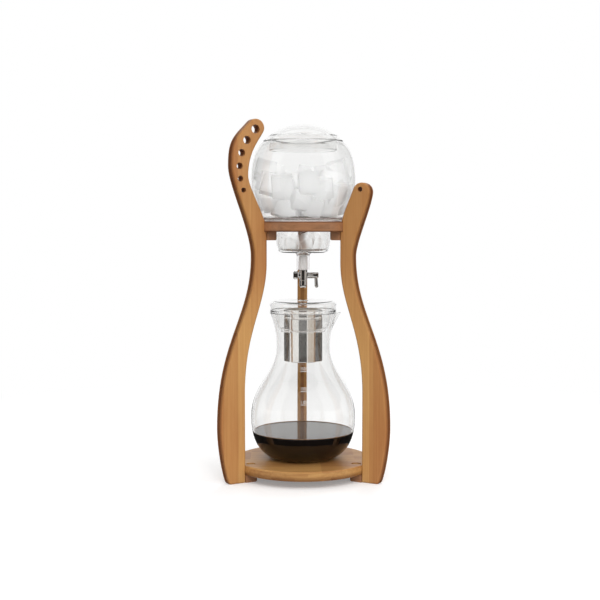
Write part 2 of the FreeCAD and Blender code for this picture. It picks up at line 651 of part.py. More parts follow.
def there_and_back(outside, inside):
    """One closed outline that goes down the outside and comes back up the inside."""
    steps = outside + [(*inside[-1][:2], "line")]
    for number in range(len(inside) - 1, 0, -1):
        x, y = inside[number - 1][:2]
        kind, *shape = inside[number][2:]
        if kind == "bend":
            leave, arrive, *fullness = shape
            shape = [arrive + 180, leave + 180] + fullness[::-1]
        steps.append((x, y, kind, *shape))
    return steps + [(*outside[0][:2], "line")]


def make_ice_vessel():
    body = new_body("ice_vessel")
    outline = Outline(body, "section").draw(there_and_back(vessel_path("0"), vessel_path("vessel_wall")))
    revolve(body, outline)
    return body


def make_dome_lid():
    """A shallow glass dome with a skirt that keeps it in the vessel's mouth."""
    body = new_body("dome_lid")
    rim = "vessel_mouth_level + rest_gap"
    outer, thin = value("dome_radius"), value("dome_radius - dome_wall")
    edge_turn = math.acos(value("vessel_mouth") / outer)
    centre = f"{rim} + dome_edge - dome_radius * {math.sin(edge_turn):.6f}"
    ball(body, "Additive", "dome", "dome_radius", centre, math.degrees(edge_turn))
    rod(body, "Additive", "edge", "vessel_mouth", "dome_edge", z=rim)
    ball(body, "Subtractive", "hollow", "dome_radius - dome_wall", centre, -90)

    def under_dome(reach):
        return f"{centre} + {math.sqrt(thin ** 2 - value(reach) ** 2):.4f}"

    skirt_inside = "skirt_radius - dome_wall"
    top = f"{under_dome(skirt_inside)} + skirt_bite"
    skirt = Outline(body, "skirt").draw([
        ("skirt_radius", top),
        ("skirt_radius", f"{rim} - skirt_depth + dome_wall / 2", "line"),
        (skirt_inside, f"{rim} - skirt_depth + dome_wall / 2", "arc",
         "skirt_radius - dome_wall / 2", f"{rim} - skirt_depth"),
        (skirt_inside, top, "line"),
        ("skirt_radius", top, "line"),
    ])
    revolve(body, skirt, "skirt_ring")
    return body


def make_gasket():
    """A flat silicone ring with rounded edges, under the vessel's bottom."""
    body = new_body("vessel_gasket")
    outline = Outline(body, "section").box("gasket_inside", SHELF_TOP, "gasket_outside", VESSEL_FLOOR)
    ring = revolve(body, outline)
    round_edges(body, ring, "gasket_round", lambda edge: True)
    return body


# ---------------------------------------------------------------- drip valve

def make_stopper():
    body = new_body("stopper")
    wide = "spout_radius - vessel_wall - stopper_gap"
    top = "spout_end + stopper_length"
    outline = Outline(body, "section").draw([
        ("inlet_radius + stopper_gap", "spout_end"),
        (wide, "spout_end", "line"),
        (f"{wide} - stopper_taper", f"{top} - stopper_bevel", "line"),
        (f"{wide} - stopper_taper - stopper_bevel", top, "line"),
        ("inlet_radius + stopper_gap", top, "line"),
        ("inlet_radius + stopper_gap", "spout_end", "line"),
    ])
    revolve(body, outline)
    return body


def make_valve_body():
    """The steel body with its inlet tube, left boss, spindle bore and water way."""
    body = new_body("valve_body")
    foot = f"{SPINDLE_LEVEL} - valve_tail"
    outline = Outline(body, "section").draw([
        ("inlet_bore", foot),
        ("valve_radius - valve_bevel", foot, "line"),
        ("valve_radius", f"{foot} + valve_bevel", "line"),
        ("valve_radius", "spout_end - valve_bevel", "line"),
        ("valve_radius - valve_bevel", "spout_end", "line"),
        ("inlet_radius", "spout_end", "line"),
        ("inlet_radius", "spout_end + inlet_length", "line"),
        ("inlet_bore", "spout_end + inlet_length", "line"),
        ("inlet_bore", foot, "line"),
    ])
    revolve(body, outline)
    rod(body, "Additive", "left_boss", "boss_radius", "left_boss", x="-left_boss", z=SPINDLE_LEVEL,
        along=OUTWARD)
    rod(body, "Subtractive", "spindle_bore", "spindle_radius + spindle_gap", "4 * valve_radius",
        x="-2 * valve_radius", z=SPINDLE_LEVEL, along=OUTWARD)
    rod(body, "Subtractive", "barrel_seat", "barrel_radius + plug_gap", "valve_radius",
        x="barrel_start", z=SPINDLE_LEVEL, along=OUTWARD)
    rod(body, "Subtractive", "tip_seat", "tip_shank + plug_gap", "tip_shank_length + plug_gap", z=foot)
    return body


def turned_on_spindle(label, steps):
    """A piece turned about the spindle's axis; each step's x runs along +X and its y is a radius."""
    body = new_body(label)
    body.Placement.Rotation = FreeCAD.Rotation(Vector(0, 1, 0), 90)
    tie(body, Placement__Base__z=SPINDLE_LEVEL)
    lathe = [(step[1], step[0], *step[2:]) for step in steps]
    revolve(body, Outline(body, "section").draw(lathe))
    return body


def make_valve_barrel():
    """The packing barrel: five ribs round it give the fingers a grip when it is screwed in."""
    ribs = 5
    start = "valve_radius + barrel_neck"
    pitch = f"(barrel_end - ({start})) / {ribs}"
    steps = [("barrel_start", "spindle_radius + spindle_gap"),
             ("barrel_start", "barrel_radius", "line"),
             (start, "barrel_radius", "line")]
    for rib in range(ribs):
        left = f"{start} + {rib} * {pitch}"
        steps += [(f"{left} + 0.25 * {pitch}", "barrel_radius - barrel_rib", "line"),
                  (f"{left} + 0.5 * {pitch}", "barrel_radius - barrel_rib", "line"),
                  (f"{left} + 0.75 * {pitch}", "barrel_radius", "line"),
                  (f"{left} + 1 * {pitch}", "barrel_radius", "line")]
    steps += [("barrel_end", "spindle_radius + spindle_gap", "line"),
              ("barrel_start", "spindle_radius + spindle_gap", "line")]
    return turned_on_spindle("valve_barrel", steps)


def make_spindle():
    """The spindle with the cross hole that meters the drops."""
    start = "left_boss + side_gap + washer_thick + nut_thick - blind_end"
    end = "barrel_end + side_gap + hub_length - blind_end"
    body = turned_on_spindle("valve_spindle", [
        (f"-({start})", "0"),
        (f"-({start})", "spindle_radius - spindle_bevel", "line"),
        (f"-({start}) + spindle_bevel", "spindle_radius", "line"),
        (f"{end} - spindle_bevel", "spindle_radius", "line"),
        (end, "spindle_radius - spindle_bevel", "line"),
        (end, "0", "line"),
        (f"-({start})", "0", "line"),
    ])
    rod(body, "Subtractive", "metering_hole", "spindle_flat", "4 * spindle_radius",
        x="-2 * spindle_radius", along=OUTWARD)
    return body


def make_valve_nut():
    """A domed hexagon nut that keeps the spindle in, on its threaded left end."""
    body = new_body("valve_nut")
    body.Placement.Rotation = FreeCAD.Rotation(Vector(0, 1, 0), 90)
    tie(body, Placement__Base__z=SPINDLE_LEVEL)
    start = "left_boss + side_gap + washer_thick"
    outline = Outline(body, "hexagon", "XY_Plane", f"-({start} + nut_thick)")
    corner = f"nut_radius / {math.cos(math.radians(30)):.6f}"
    points = [point_on_circle("0", "0", corner, 60 * number) for number in range(7)]
    outline.draw([points[0]] + [(*point, "line") for point in points[1:]])
    blank = pad(body, outline, "nut_thick")
    rod(body, "Subtractive", "thread_hole", "spindle_radius", "nut_thick - blind_end",
        z=f"-({start} + nut_thick - blind_end)")
    crown_start = "nut_radius - nut_crown_inset"
    crown_end = f"{corner} + nut_crown_inset"
    dome = Outline(body, "crown").draw([
        (crown_start, f"-({start} + nut_thick)"),
        (crown_end, f"-({start} + nut_thick)", "line"),
        (crown_end, f"-({start} + nut_thick) + nut_crown", "line"),
        (crown_start, f"-({start} + nut_thick)", "line"),
    ])
    groove(body, dome)
    return body


def make_washer():
    left = "-(left_boss + side_gap + washer_thick)"
    right = "-(left_boss + side_gap)"
    return turned_on_spindle("valve_washer", [
        (left, "spindle_radius"),
        (left, "boss_radius", "line"),
        (right, "boss_radius", "line"),
        (right, "spindle_radius", "line"),
        (left, "spindle_radius", "line"),
    ])


def make_lever():
    """The tap's lever: a hub on the spindle and a flat blade that hangs from it."""
    body = new_body("valve_lever")
    tie(body, Placement__Base__z=SPINDLE_LEVEL)
    start = "barrel_end + side_gap"
    middle = f"{start} + hub_length / 2"
    outline = Outline(body, "front").draw([
        (f"{middle} - lever_root / 2", "0"),
        (f"{middle} + lever_lean - lever_tip / 2", "lever_tip / 2 - lever_reach", "line"),
        (f"{middle} + lever_lean + lever_tip / 2", "lever_tip / 2 - lever_reach", "arc",
         f"{middle} + lever_lean", "-lever_reach"),
        (f"{middle} + lever_root / 2", "0", "line"),
        (f"{middle} - lever_root / 2", "0", "line"),
    ])
    pad(body, outline, "lever_thick", symmetric=True)
    rod(body, "Additive", "hub", "hub_radius", "hub_length", x=start, along=OUTWARD)
    rod(body, "Subtractive", "spindle_hole", "spindle_radius", "hub_length - blind_end",
        x=start, along=OUTWARD)
    return body


def make_outlet_tip():
    body = new_body("outlet_tip")
    top = f"{SPINDLE_LEVEL} - valve_tail"
    outline = Outline(body, "section").draw([
        ("inlet_bore", f"{top} - tip_length"),
        ("tip_end_radius", f"{top} - tip_length", "line"),
        ("tip_radius", f"{top} - tip_straight", "bend", 45, 90),
        ("tip_radius", top, "line"),
        ("tip_shank", top, "line"),
        ("tip_shank", f"{top} + tip_shank_length", "line"),
        ("inlet_bore", f"{top} + tip_shank_length", "line"),
        ("inlet_bore", f"{top} - tip_length", "line"),
    ])
    revolve(body, outline)
    return body


# ---------------------------------------------------------------- carafe, filter and lid

def carafe_path(wall, floor):
    """The carafe's side from the middle of its bottom up to the rim."""
    neck_level = f"{BASE_TOP} + carafe_neck_rise"
    belly_level = f"{BASE_TOP} + carafe_belly_rise"
    return [
        ("0", f"{BASE_TOP} + {floor}"),
        ("carafe_foot", f"{BASE_TOP} + {floor}", "line"),
        (f"carafe_belly - {wall}", belly_level, "bend", 12, 90, 0.34, 0.46),
        (f"carafe_neck - {wall}", neck_level, "bend", 90, 90, 0.42, 0.34),
        (f"carafe_mouth - {wall}", CARAFE_RIM, "bend", 90, 69, 0.29, 0.36),
    ]


def make_carafe():
    """A round glass jug; its lip is a leaning cone that runs out of the neck."""
    body = new_body("carafe")
    outside = carafe_path("0", "0")
    revolve(body, Outline(body, "outside").draw(
        outside + [("0", CARAFE_RIM, "line"), ("0", BASE_TOP, "line")]), "jug")
    lean = value("lip_tilt")
    over = value("lip_spare")
    axis_length = value("lip_drop") / math.cos(math.radians(lean))
    widen = (value("lip_radius") - value("lip_root")) / axis_length
    root = (f"lip_reach - lip_radius / {math.cos(math.radians(lean)):.6f}"
            f" - lip_drop * {math.tan(math.radians(lean)):.6f}")
    length = f"{axis_length + over:.4f}"
    wide = f"lip_radius + {over * widen:.4f}"
    cone(body, "Additive", "lip_outside", "lip_root", wide, length, x=root,
         z=f"{CARAFE_RIM} - lip_drop", lean=lean)
    inside = carafe_path("carafe_wall", "carafe_floor")
    groove(body, Outline(body, "inside").draw(
        inside + [("0", CARAFE_RIM, "line"), ("0", f"{BASE_TOP} + carafe_floor", "line")]), "hollow")
    cone(body, "Subtractive", "lip_inside", "lip_root - carafe_wall", f"{wide} - carafe_wall", length, x=root,
         z=f"{CARAFE_RIM} - lip_drop", lean=lean)
    trim = Outline(body, "rim", "XY_Plane", CARAFE_RIM)
    trim.circle("0", "0", "2 * carafe_mouth")
    cut = body.newObject("PartDesign::Pocket", "level_rim")
    cut.Profile = trim.sketch
    cut.Reversed = True
    tie(cut, Length="lip_drop")
    return body


def make_filter_holder():
    """A glass collar: its flange lies on the carafe's rim and its ring carries the filter."""
    body = new_body("filter_holder")
    top = f"{HOLDER_SEAT} + holder_flange_thick"
    waist = f"{HOLDER_SEAT} - holder_waist_drop"
    low = f"{HOLDER_SEAT} - holder_drop"
    bore = "filter_radius + filter_gap"
    outline = Outline(body, "section").draw([
        ("holder_flange", HOLDER_SEAT),
        ("holder_flange", top, "arc", "holder_flange + holder_flange_round",
         f"{HOLDER_SEAT} + holder_flange_thick / 2"),
        ("holder_skirt - holder_wall", top, "line"),
        ("holder_waist - holder_wall", waist, "bend", -90, -110),
        ("filter_radius + filter_bead + filter_gap", RING_TOP, "line"),
        (bore, RING_TOP, "line"),
        (bore, low, "line"),
        ("holder_ring", low, "line"),
        ("holder_ring", RING_TOP, "line"),
        ("holder_waist", f"{waist} + holder_wall / 4", "bend", 60, 70),
        ("holder_skirt", HOLDER_SEAT, "bend", 70, 90),
        ("holder_flange", HOLDER_SEAT, "line"),
    ])
    revolve(body, outline)
    return body


def make_filter_body():
    """The filter's steel tube, rolled into a bead that lies on the holder's ring."""
    body = new_body("filter_body")
    low = f"{FILTER_SEAT} - filter_drop"
    top = f"{FILTER_SEAT} + filter_cup_height"
    inner = "filter_radius - filter_wall"
    ledge = "filter_radius - filter_foot_width"
    bulge = f"{QUARTER_INSET} * filter_foot_round"
    outline = Outline(body, "section").draw([
        (ledge, low),
        ("filter_radius - filter_foot_round", low, "line"),
        ("filter_radius", f"{low} + filter_foot_round", "arc",
         f"filter_radius - {bulge}", f"{low} + {bulge}"),
        ("filter_radius", FILTER_SEAT, "line"),
        ("filter_radius + filter_bead / 2", FILTER_SEAT, "line"),
        ("filter_radius + filter_bead / 2", f"{FILTER_SEAT} + filter_bead", "arc",
         "filter_radius + filter_bead", f"{FILTER_SEAT} + filter_bead / 2"),
        ("filter_radius", f"{FILTER_SEAT} + filter_bead", "line"),
        ("filter_radius", top, "line"),
        (inner, top, "line"),
        (inner, f"{low} + filter_wall", "line"),
        (ledge, f"{low} + filter_wall", "line"),
        (ledge, low, "line"),
    ])
    revolve(body, outline)
    return body


def drilled_disc(label, radius, low, thick, hole, rings, pitch):
    """A round screen with a hole in the middle and rings of holes round it."""
    body = new_body(label)
    outline = Outline(body, "screen", "XY_Plane", low)
    outline.circle("0", "0", radius)
    outline.circle("0", "0", hole)
    for ring in range(1, rings + 1):
        for number in range(6 * ring):
            x, y = point_on_circle("0", "0", f"{ring} * {pitch}", 60 * number / ring)
            outline.circle(x, y, hole)
    pad(body, outline, thick)
    return body


def make_spreader_cap():
    """The cap over the grounds: a steel cup whose spigot drops into the filter."""
    body = new_body("spreader_cap")
    seat = f"{FILTER_SEAT} + filter_cup_height"
    top = f"{seat} + cap_height"
    groove_low = f"{seat} + cap_band + cap_lip"
    groove_high = f"{top} - cap_brim - cap_lip"
    spigot = "filter_radius - filter_wall - cap_gap"
    inner = f"{spigot} - filter_wall"
    outline = Outline(body, "section").draw([
        (f"{inner} - cap_ledge", f"{seat} - cap_overlap"),
        (spigot, f"{seat} - cap_overlap", "line"),
        (spigot, seat, "line"),
        ("filter_radius", seat, "line"),
        ("filter_radius", f"{seat} + cap_band", "line"),
        ("filter_radius - cap_lip", groove_low, "line"),
        ("filter_radius - cap_lip", groove_high, "line"),
        ("filter_radius", f"{top} - cap_brim", "line"),
        ("filter_radius", top, "line"),
        (inner, top, "line"),
        (inner, f"{seat} - cap_overlap + filter_wall", "line"),
        (f"{inner} - cap_ledge", f"{seat} - cap_overlap + filter_wall", "line"),
        (f"{inner} - cap_ledge", f"{seat} - cap_overlap", "line"),
    ])
    revolve(body, outline)
    return body


def make_carafe_lid():
    """A glass lid with a raised rim round the hole that the drops fall through."""
    body = new_body("carafe_lid")
    low = LID_SEAT
    top = f"{low} + lid_height"
    rim = f"{top} + drip_rim_rise"
    under = f"{top} - lid_wall"
    bulge = f"{QUARTER_INSET} * lid_edge_round"
    outline = Outline(body, "section").draw([
        ("lid_radius - lid_wall", low),
        ("lid_radius - lid_edge_round", low, "line"),
        ("lid_radius", f"{low} + lid_edge_round", "arc",
         f"lid_radius - {bulge}", f"{low} + {bulge}"),
        ("lid_radius", f"{top} - lid_shoulder", "line"),
        ("lid_top", top, "bend", 90, 180, 0.45, 0.36),
        ("drip_hole + drip_rim", top, "line"),
        ("drip_hole", top, "arc", "drip_hole + drip_rim / 2", rim),
        ("drip_hole", f"{under} - drip_rim_fall", "line"),
        ("drip_hole + drip_rim", f"{under} - drip_rim_fall", "line"),
        ("drip_hole + drip_rim", under, "line"),
        ("lid_top", under, "line"),
        ("lid_radius - lid_wall", f"{top} - lid_shoulder - lid_wall / 2", "bend", 0, -90, 0.36, 0.45),
        ("lid_radius - lid_wall", low, "line"),
    ])
    revolve(body, outline)
    return body


# ---------------------------------------------------------------- the whole tower

pieces = []
for side, turn in POSTS:
    pieces += [make_post(side, turn), make_foot_block(side, turn), make_cleat(side, turn)]
pieces += [
    make_base_disc(),
    make_shelf_ring(),
    make_base_screws(),
    make_shelf_screws(),
    make_pegs("screw_plugs", "plug_radius", "plug_thick", PLUG_REACH,
              f"{BASE_SCREW_SEAT} + base_screw_head_thick", UP),
    make_pegs("foot_dowels", "foot_dowel_radius", "foot_dowel_length", FOOT_DOWEL_INSIDE,
              "base_lift / 2", OUTWARD),
    make_pegs("cleat_dowels", "cleat_dowel_radius", "cleat_dowel_length", CLEAT_DOWEL_INSIDE,
              "shelf_level - cleat_thick / 2", OUTWARD),
    make_gasket(),
    make_ice_vessel(),
    make_dome_lid(),
    make_stopper(),
    make_valve_body(),
    make_valve_barrel(),
    make_spindle(),
    make_washer(),
    make_valve_nut(),
    make_lever(),
    make_outlet_tip(),
    make_carafe(),
    make_filter_holder(),
    make_filter_body(),
    drilled_disc("filter_screen", "filter_radius - filter_wall",
                 f"{FILTER_SEAT} - filter_drop + filter_wall", "screen_thick",
                 "strainer_hole", 3, "screen_pitch"),
    make_spreader_cap(),
    drilled_disc("spreader_plate", "filter_radius - 2 * filter_wall - cap_gap",
                 f"{FILTER_SEAT} + filter_cup_height - cap_overlap + filter_wall", "screen_thick",
                 "screen_hole", 3, "screen_pitch"),
    make_carafe_lid(),
]
doc.recompute()

for item in doc.Objects:
    if "Invalid" in item.State or "Error" in item.State:
        raise RuntimeError(f"{item.Label} in {item.getParentGeoFeatureGroup()}: {item.State}")
for piece in pieces:
    if piece.Shape.isNull() or not piece.Shape.isValid():
        raise RuntimeError(f"{piece.Label} has no valid shape")

os.makedirs("parts", exist_ok=True)
for piece in pieces:
    piece.Shape.exportStep(f"parts/{piece.Label}.step")
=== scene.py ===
"""Cold drip coffee tower: finishes, glassware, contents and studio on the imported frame.

Laid out as an add-on: sizes and colours are properties, each group of pieces has an operator, and a panel
in the 3D view's sidebar lists them. Every length is in metres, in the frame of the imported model.
"""
import functools
import itertools
import math
import random

import bmesh
import bpy
from bpy.props import FloatProperty, FloatVectorProperty, IntProperty, PointerProperty
from bpy.types import Operator, Panel, PropertyGroup
from mathutils import Euler, Matrix, Vector


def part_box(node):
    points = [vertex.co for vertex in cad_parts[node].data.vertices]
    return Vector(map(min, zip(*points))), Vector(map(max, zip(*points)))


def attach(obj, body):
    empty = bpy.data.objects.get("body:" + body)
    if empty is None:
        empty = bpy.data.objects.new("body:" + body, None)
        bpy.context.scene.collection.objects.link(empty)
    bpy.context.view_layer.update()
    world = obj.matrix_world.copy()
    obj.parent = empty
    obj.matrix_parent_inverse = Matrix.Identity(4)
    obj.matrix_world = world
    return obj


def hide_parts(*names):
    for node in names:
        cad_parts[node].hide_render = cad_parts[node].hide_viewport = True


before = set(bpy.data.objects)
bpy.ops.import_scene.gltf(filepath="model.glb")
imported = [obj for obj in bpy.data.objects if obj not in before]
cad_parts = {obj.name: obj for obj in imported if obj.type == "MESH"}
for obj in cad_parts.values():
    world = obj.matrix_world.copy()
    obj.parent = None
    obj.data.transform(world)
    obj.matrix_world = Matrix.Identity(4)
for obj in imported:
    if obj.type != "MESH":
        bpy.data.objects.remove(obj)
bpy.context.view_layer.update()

bl_info = {
    "name": "Cold drip coffee tower",
    "version": (1, 0, 0),
    "blender": (4, 5, 0),
    "location": "3D View > Sidebar > Drip tower",
    "description": "Dresses a bamboo cold drip coffee tower with its glass, steel, ice and coffee",
    "category": "Object",
}

MM = 0.001

base_low, base_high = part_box("base_disc")
AXIS = Vector(((base_low.x + base_high.x) / 2, (base_low.y + base_high.y) / 2, 0))
BASE_TOP = base_high.z
VESSEL_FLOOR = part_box("vessel_gasket")[1].z
SPOUT_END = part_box("ice_vessel")[0].z
VESSEL_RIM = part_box("ice_vessel")[1].z
CARAFE_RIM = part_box("carafe")[1].z
HOLDER_LOW, HOLDER_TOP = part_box("filter_holder")[0].z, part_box("filter_holder")[1].z
LID_SEAT, LID_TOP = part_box("carafe_lid")[0].z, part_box("carafe_lid")[1].z
FILTER_LOW, FILTER_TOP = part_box("filter_body")[0].z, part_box("filter_body")[1].z
CAP_LOW, CAP_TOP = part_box("spreader_cap")[0].z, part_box("spreader_cap")[1].z


# ---------------------------------------------------------------- sizes and colours

def length(name, description, default):
    """A length that the panel shows."""
    return FloatProperty(name=name, description=description, default=default, unit="LENGTH", precision=5)


def colour(name, description, default):
    """A colour that the panel shows."""
    return FloatVectorProperty(name=name, description=description, default=default, subtype="COLOR",
                               min=0, max=1)


class GlassSizes(PropertyGroup):
    vessel_wall: length("Vessel wall", "Glass of the ice vessel", 2.2 * MM)
    lid_wall: length("Dome lid wall", "Glass of the dome lid", 2.0 * MM)
    carafe_wall: length("Carafe wall", "Glass of the carafe", 1.8 * MM)
    carafe_floor: length("Carafe floor", "Glass of the carafe's bottom", 2.4 * MM)
    rim_round: length("Rim rounding", "Fire-polished corners of the rims", 0.6 * MM)
    ripple: length("Ripple", "Waviness of the blown glass", 0.02 * MM)


class ContentSizes(PropertyGroup):
    ice_pitch: length("Ice size", "Distance between neighbouring lumps of ice", 24 * MM)
    ice_gap: length("Ice gap", "Space between two lumps", 0.5 * MM)
    ice_level: length("Ice level", "Level that the heap of ice reaches", 424 * MM)
    ice_seed: IntProperty(name="Ice seed", description="Another seed gives another heap", default=11)
    water_level: length("Water level", "Melt water over the spout", 314 * MM)
    coffee_level: length("Coffee level", "Surface of the coffee in the carafe", 61.5 * MM)
    grounds_level: length("Grounds level", "Top of the coffee grounds in the filter", 196 * MM)


class TowerColours(PropertyGroup):
    bamboo_light: colour("Light bamboo", "Palest strips of the posts and the base", (0.60, 0.325, 0.108))
    bamboo_red: colour("Red bamboo", "Reddest strips of the posts and the base", (0.43, 0.175, 0.052))
    bamboo_dark: colour("Dark bamboo", "Shelf ring, blocks and cleats", (0.44, 0.205, 0.095))
    glass: colour("Glass", "What is left of light that has gone through thick glass", (0.60, 0.60, 0.59))
    ice: colour("Ice", "Cloudy ice", (0.996, 0.998, 0.996))
    coffee: colour("Coffee", "Cold brew in the carafe", (0.0060, 0.0042, 0.0036))
    grounds: colour("Grounds", "Coarsely ground coffee", (0.060, 0.028, 0.015))
    print: colour("Print", "Enamel of the printed scale", (0.86, 0.85, 0.83))
    steel: colour("Steel", "Polished stainless steel of the valve", (0.74, 0.73, 0.71))
    filter_steel: colour("Filter steel", "Bright stainless steel of the filter", (0.90, 0.88, 0.85))
    silicone: colour("Silicone", "Stopper, gasket and washer", (0.78, 0.74, 0.72))


class StageSizes(PropertyGroup):
    distance: length("Camera distance", "In front of the tower's axis", 1.5125)
    height: length("Camera height", "Above the floor", 0.346)
    aside: length("Camera aside", "To the left of the tower's axis", 0.0043)
    orbit: FloatProperty(name="Camera orbit", description="Turn of the camera about the tower",
                         default=math.radians(0.7), subtype="ANGLE")
    pitch: FloatProperty(name="Camera pitch", description="Looking down", default=math.radians(3.9),
                         subtype="ANGLE")
    lens: FloatProperty(name="Lens", description="Focal length in millimetres", default=66.0, unit="CAMERA")
    key: FloatProperty(name="Key lamp", description="Watts of the large front lamp", default=21.0)
    fill: FloatProperty(name="Fill lamp", description="Watts of the side lamp", default=7.0)
    back: FloatProperty(name="Back lamp", description="Watts of the lamp behind the tower", default=12.0)
    sky: FloatProperty(name="Sky", description="Light from all round", default=0.68)


# ---------------------------------------------------------------- meshes

def piece_from(name, mesh, body, material, replaces=()):
    """Put a finished mesh in the scene as a piece that rides on a body."""
    mesh.set_sharp_from_angle(angle=math.radians(38))
    piece = bpy.data.objects.new(name, mesh)
    bpy.context.scene.collection.objects.link(piece)
    piece.data.materials.append(material)
    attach(piece, body)
    if replaces:
        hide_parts(*replaces)
    return piece


def mesh_from(name, bm):
    """Close the seams of a mesh in the making, turn its faces outwards and keep it as smooth."""
    bmesh.ops.remove_doubles(bm, verts=bm.verts, dist=1e-7)
    bmesh.ops.recalc_face_normals(bm, faces=bm.faces)
    for face in bm.faces:
        face.smooth = True
    mesh = bpy.data.meshes.new(name)
    bm.to_mesh(mesh)
    bm.free()
    return mesh


def curve_points(start, end, leave, arrive, before, after):
    """Points after the start on a smooth curve that leaves and arrives at the given headings, in degrees.

    Before and after are how far the curve keeps to each heading, as shares of its chord.
    """
    a, b = Vector(start), Vector(end)
    chord = (b - a).length
    leave, arrive = math.radians(leave), math.radians(arrive)
    p = a + Vector((math.cos(leave), math.sin(leave))) * chord * before
    q = b - Vector((math.cos(arrive), math.sin(arrive))) * chord * after
    parts, points = 14, []
    for number in range(1, parts + 1):
        t = number / parts
        s = 1 - t
        points.append(tuple(a * s ** 3 + p * 3 * s * s * t + q * 3 * s * t * t + b * t ** 3))
    return points


def trace(steps):
    """A section's points from steps (radius, level), with headings after the level for a curve.

    After the headings a step may have how far the curve keeps to each of them.
    """
    points = [tuple(steps[0][:2])]
    for radius, level, *bend in steps[1:]:
        if bend:
            leave, arrive, before, after = (*bend, 0.36, 0.36)[:4]
            points += curve_points(points[-1], (radius, level), leave, arrive, before, after)
        else:
            points.append((radius, level))
    return points


def arc(centre, radius, start, end, parts=6):
    """Points of an arc in a section, from one direction to another in degrees."""
    found = []
    for number in range(parts + 1):
        turn = math.radians(start + (end - start) * number / parts)
        found.append((centre[0] + radius * math.cos(turn), centre[1] + radius * math.sin(turn)))
    return found


def steadied(section):
    """Add a point close to each end of a long straight run, so that smooth shading leaves the run flat."""
    near, long_run = 0.3 * MM, 3 * MM
    spots = [Vector(spot) for spot in section]
    kept = []
    for number, spot in enumerate(spots):
        after = spots[(number + 1) % len(spots)]
        run = (after - spot).length
        kept.append(tuple(spot))
        if run > long_run:
            if (spot - spots[number - 1]).length < run / 3:
                kept.append(tuple(spot.lerp(after, near / run)))
            if (spots[(number + 2) % len(spots)] - after).length < run / 3:
                kept.append(tuple(after.lerp(spot, near / run)))
    return kept


def lathe(section, turns, reach=None):
    """Turn a closed section about the tower's axis; reach can push a point outwards by its direction."""
    bm = bmesh.new()
    rings = []
    for radius, level in steadied(section):
        if radius < 1e-6:
            rings.append([bm.verts.new((AXIS.x, AXIS.y, level))])
            continue
        ring = []
        for number in range(turns):
            turn = 2 * math.pi * number / turns
            r = reach(radius, level, turn) if reach else radius
            ring.append(bm.verts.new((AXIS.x + r * math.cos(turn), AXIS.y + r * math.sin(turn), level)))
        rings.append(ring)
    for first, second in zip(rings, rings[1:] + rings[:1]):
        if len(first) == 1 and len(second) == 1:
            continue
        for number in range(turns):
            after = (number + 1) % turns
            corners = [first[number % len(first)], first[after % len(first)],
                       second[after % len(second)], second[number % len(second)]]
            kept = []
            for corner in corners:
                if corner not in kept:
                    kept.append(corner)
            bm.faces.new(kept)
    return bm


def loft(bm, rings):
    """Skin ellipses given as centre, half width, half depth and the axis they stand on; both ends close."""
    corners, skin = 32, []
    for centre, wide, deep, axis in rings:
        ring = []
        for number in range(corners):
            turn = 2 * math.pi * number / corners
            a, b = wide * math.cos(turn), deep * math.sin(turn)
            ring.append(bm.verts.new(centre + (Vector((0, a, b)) if axis == "X" else Vector((a, b, 0)))))
        skin.append(ring)
    for first, second in zip(skin, skin[1:]):
        for number in range(corners):
            after = (number + 1) % corners
            bm.faces.new((first[number], first[after], second[after], second[number]))
    bm.faces.new(skin[0])
    bm.faces.new(skin[-1])


def turned_piece(name, section, body, material, replaces=(), turns=144, reach=None):
    """A piece turned from its section about the tower's axis."""
    mesh = mesh_from(name, lathe(section, turns, reach))
    return piece_from(name, mesh, body, material, replaces)


# ---------------------------------------------------------------- shader tools

def new_material(name):
    """An empty material and its node tree."""
    material = bpy.data.materials.new(name)
    material.use_nodes = True
    material.node_tree.nodes.clear()
    return material, material.node_tree


def made_once(make):
    """Make a finish when its name is first asked for, and share it from then on."""
    @functools.wraps(make)
    def shared(name, *values, **settings):
        return bpy.data.materials.get(name) or make(name, *values, **settings)
    return shared


def node(tree, kind, links=(), **settings):
    """Add a node; settings that name an input set it, others set the node, and links feed its inputs."""
    made = tree.nodes.new(kind)
    for name, setting in settings.items():
        key = name.replace("_", " ").title() if name[0].islower() else name
        if hasattr(made, name):
            setattr(made, name, setting)
        elif key in made.inputs:
            made.inputs[key].default_value = setting
        else:
            raise KeyError(f"{kind} has neither {name} nor {key}")
    for socket, source in dict(links).items():
        tree.links.new(source, made.inputs[socket])
    return made


def maths(tree, operation, first, second=None, third=None, clamp=False):
    """Add a maths node whose operands are numbers or outputs."""
    made = tree.nodes.new("ShaderNodeMath")
    made.operation = operation
    made.use_clamp = clamp
    for number, operand in enumerate((first, second, third)):
        if operand is None:
            continue
        if isinstance(operand, (int, float)):
            made.inputs[number].default_value = operand
        else:
            tree.links.new(operand, made.inputs[number])
    return made.outputs[0]


def mix_colour(tree, share, first, second, blend="MIX"):
    """Go from the first colour to the second by a share; each is a value or an output."""
    made = tree.nodes.new("ShaderNodeMix")
    made.data_type = "RGBA"
    made.blend_type = blend
    made.clamp_factor = True
    for socket, operand in ((made.inputs[0], share), (made.inputs[6], first), (made.inputs[7], second)):
        if isinstance(operand, (int, float)):
            socket.default_value = operand
        elif isinstance(operand, (tuple, list)):
            socket.default_value = (*operand[:3], 1)
        else:
            tree.links.new(operand, socket)
    return made.outputs[2]


def stained(tree, share, colour, stain):
    """A colour with a stain multiplied onto it, by a share."""
    return mix_colour(tree, share, colour, mix_colour(tree, 1.0, colour, stain, "MULTIPLY"))


def bumped(tree, height, strength, distance):
    """A normal that follows a height."""
    return node(tree, "ShaderNodeBump", {"Height": height}, strength=strength, distance=distance).outputs[0]


def show(tree, shader):
    """Lead a shader to the material's surface."""
    node(tree, "ShaderNodeOutputMaterial", {"Surface": shader.outputs[0]})


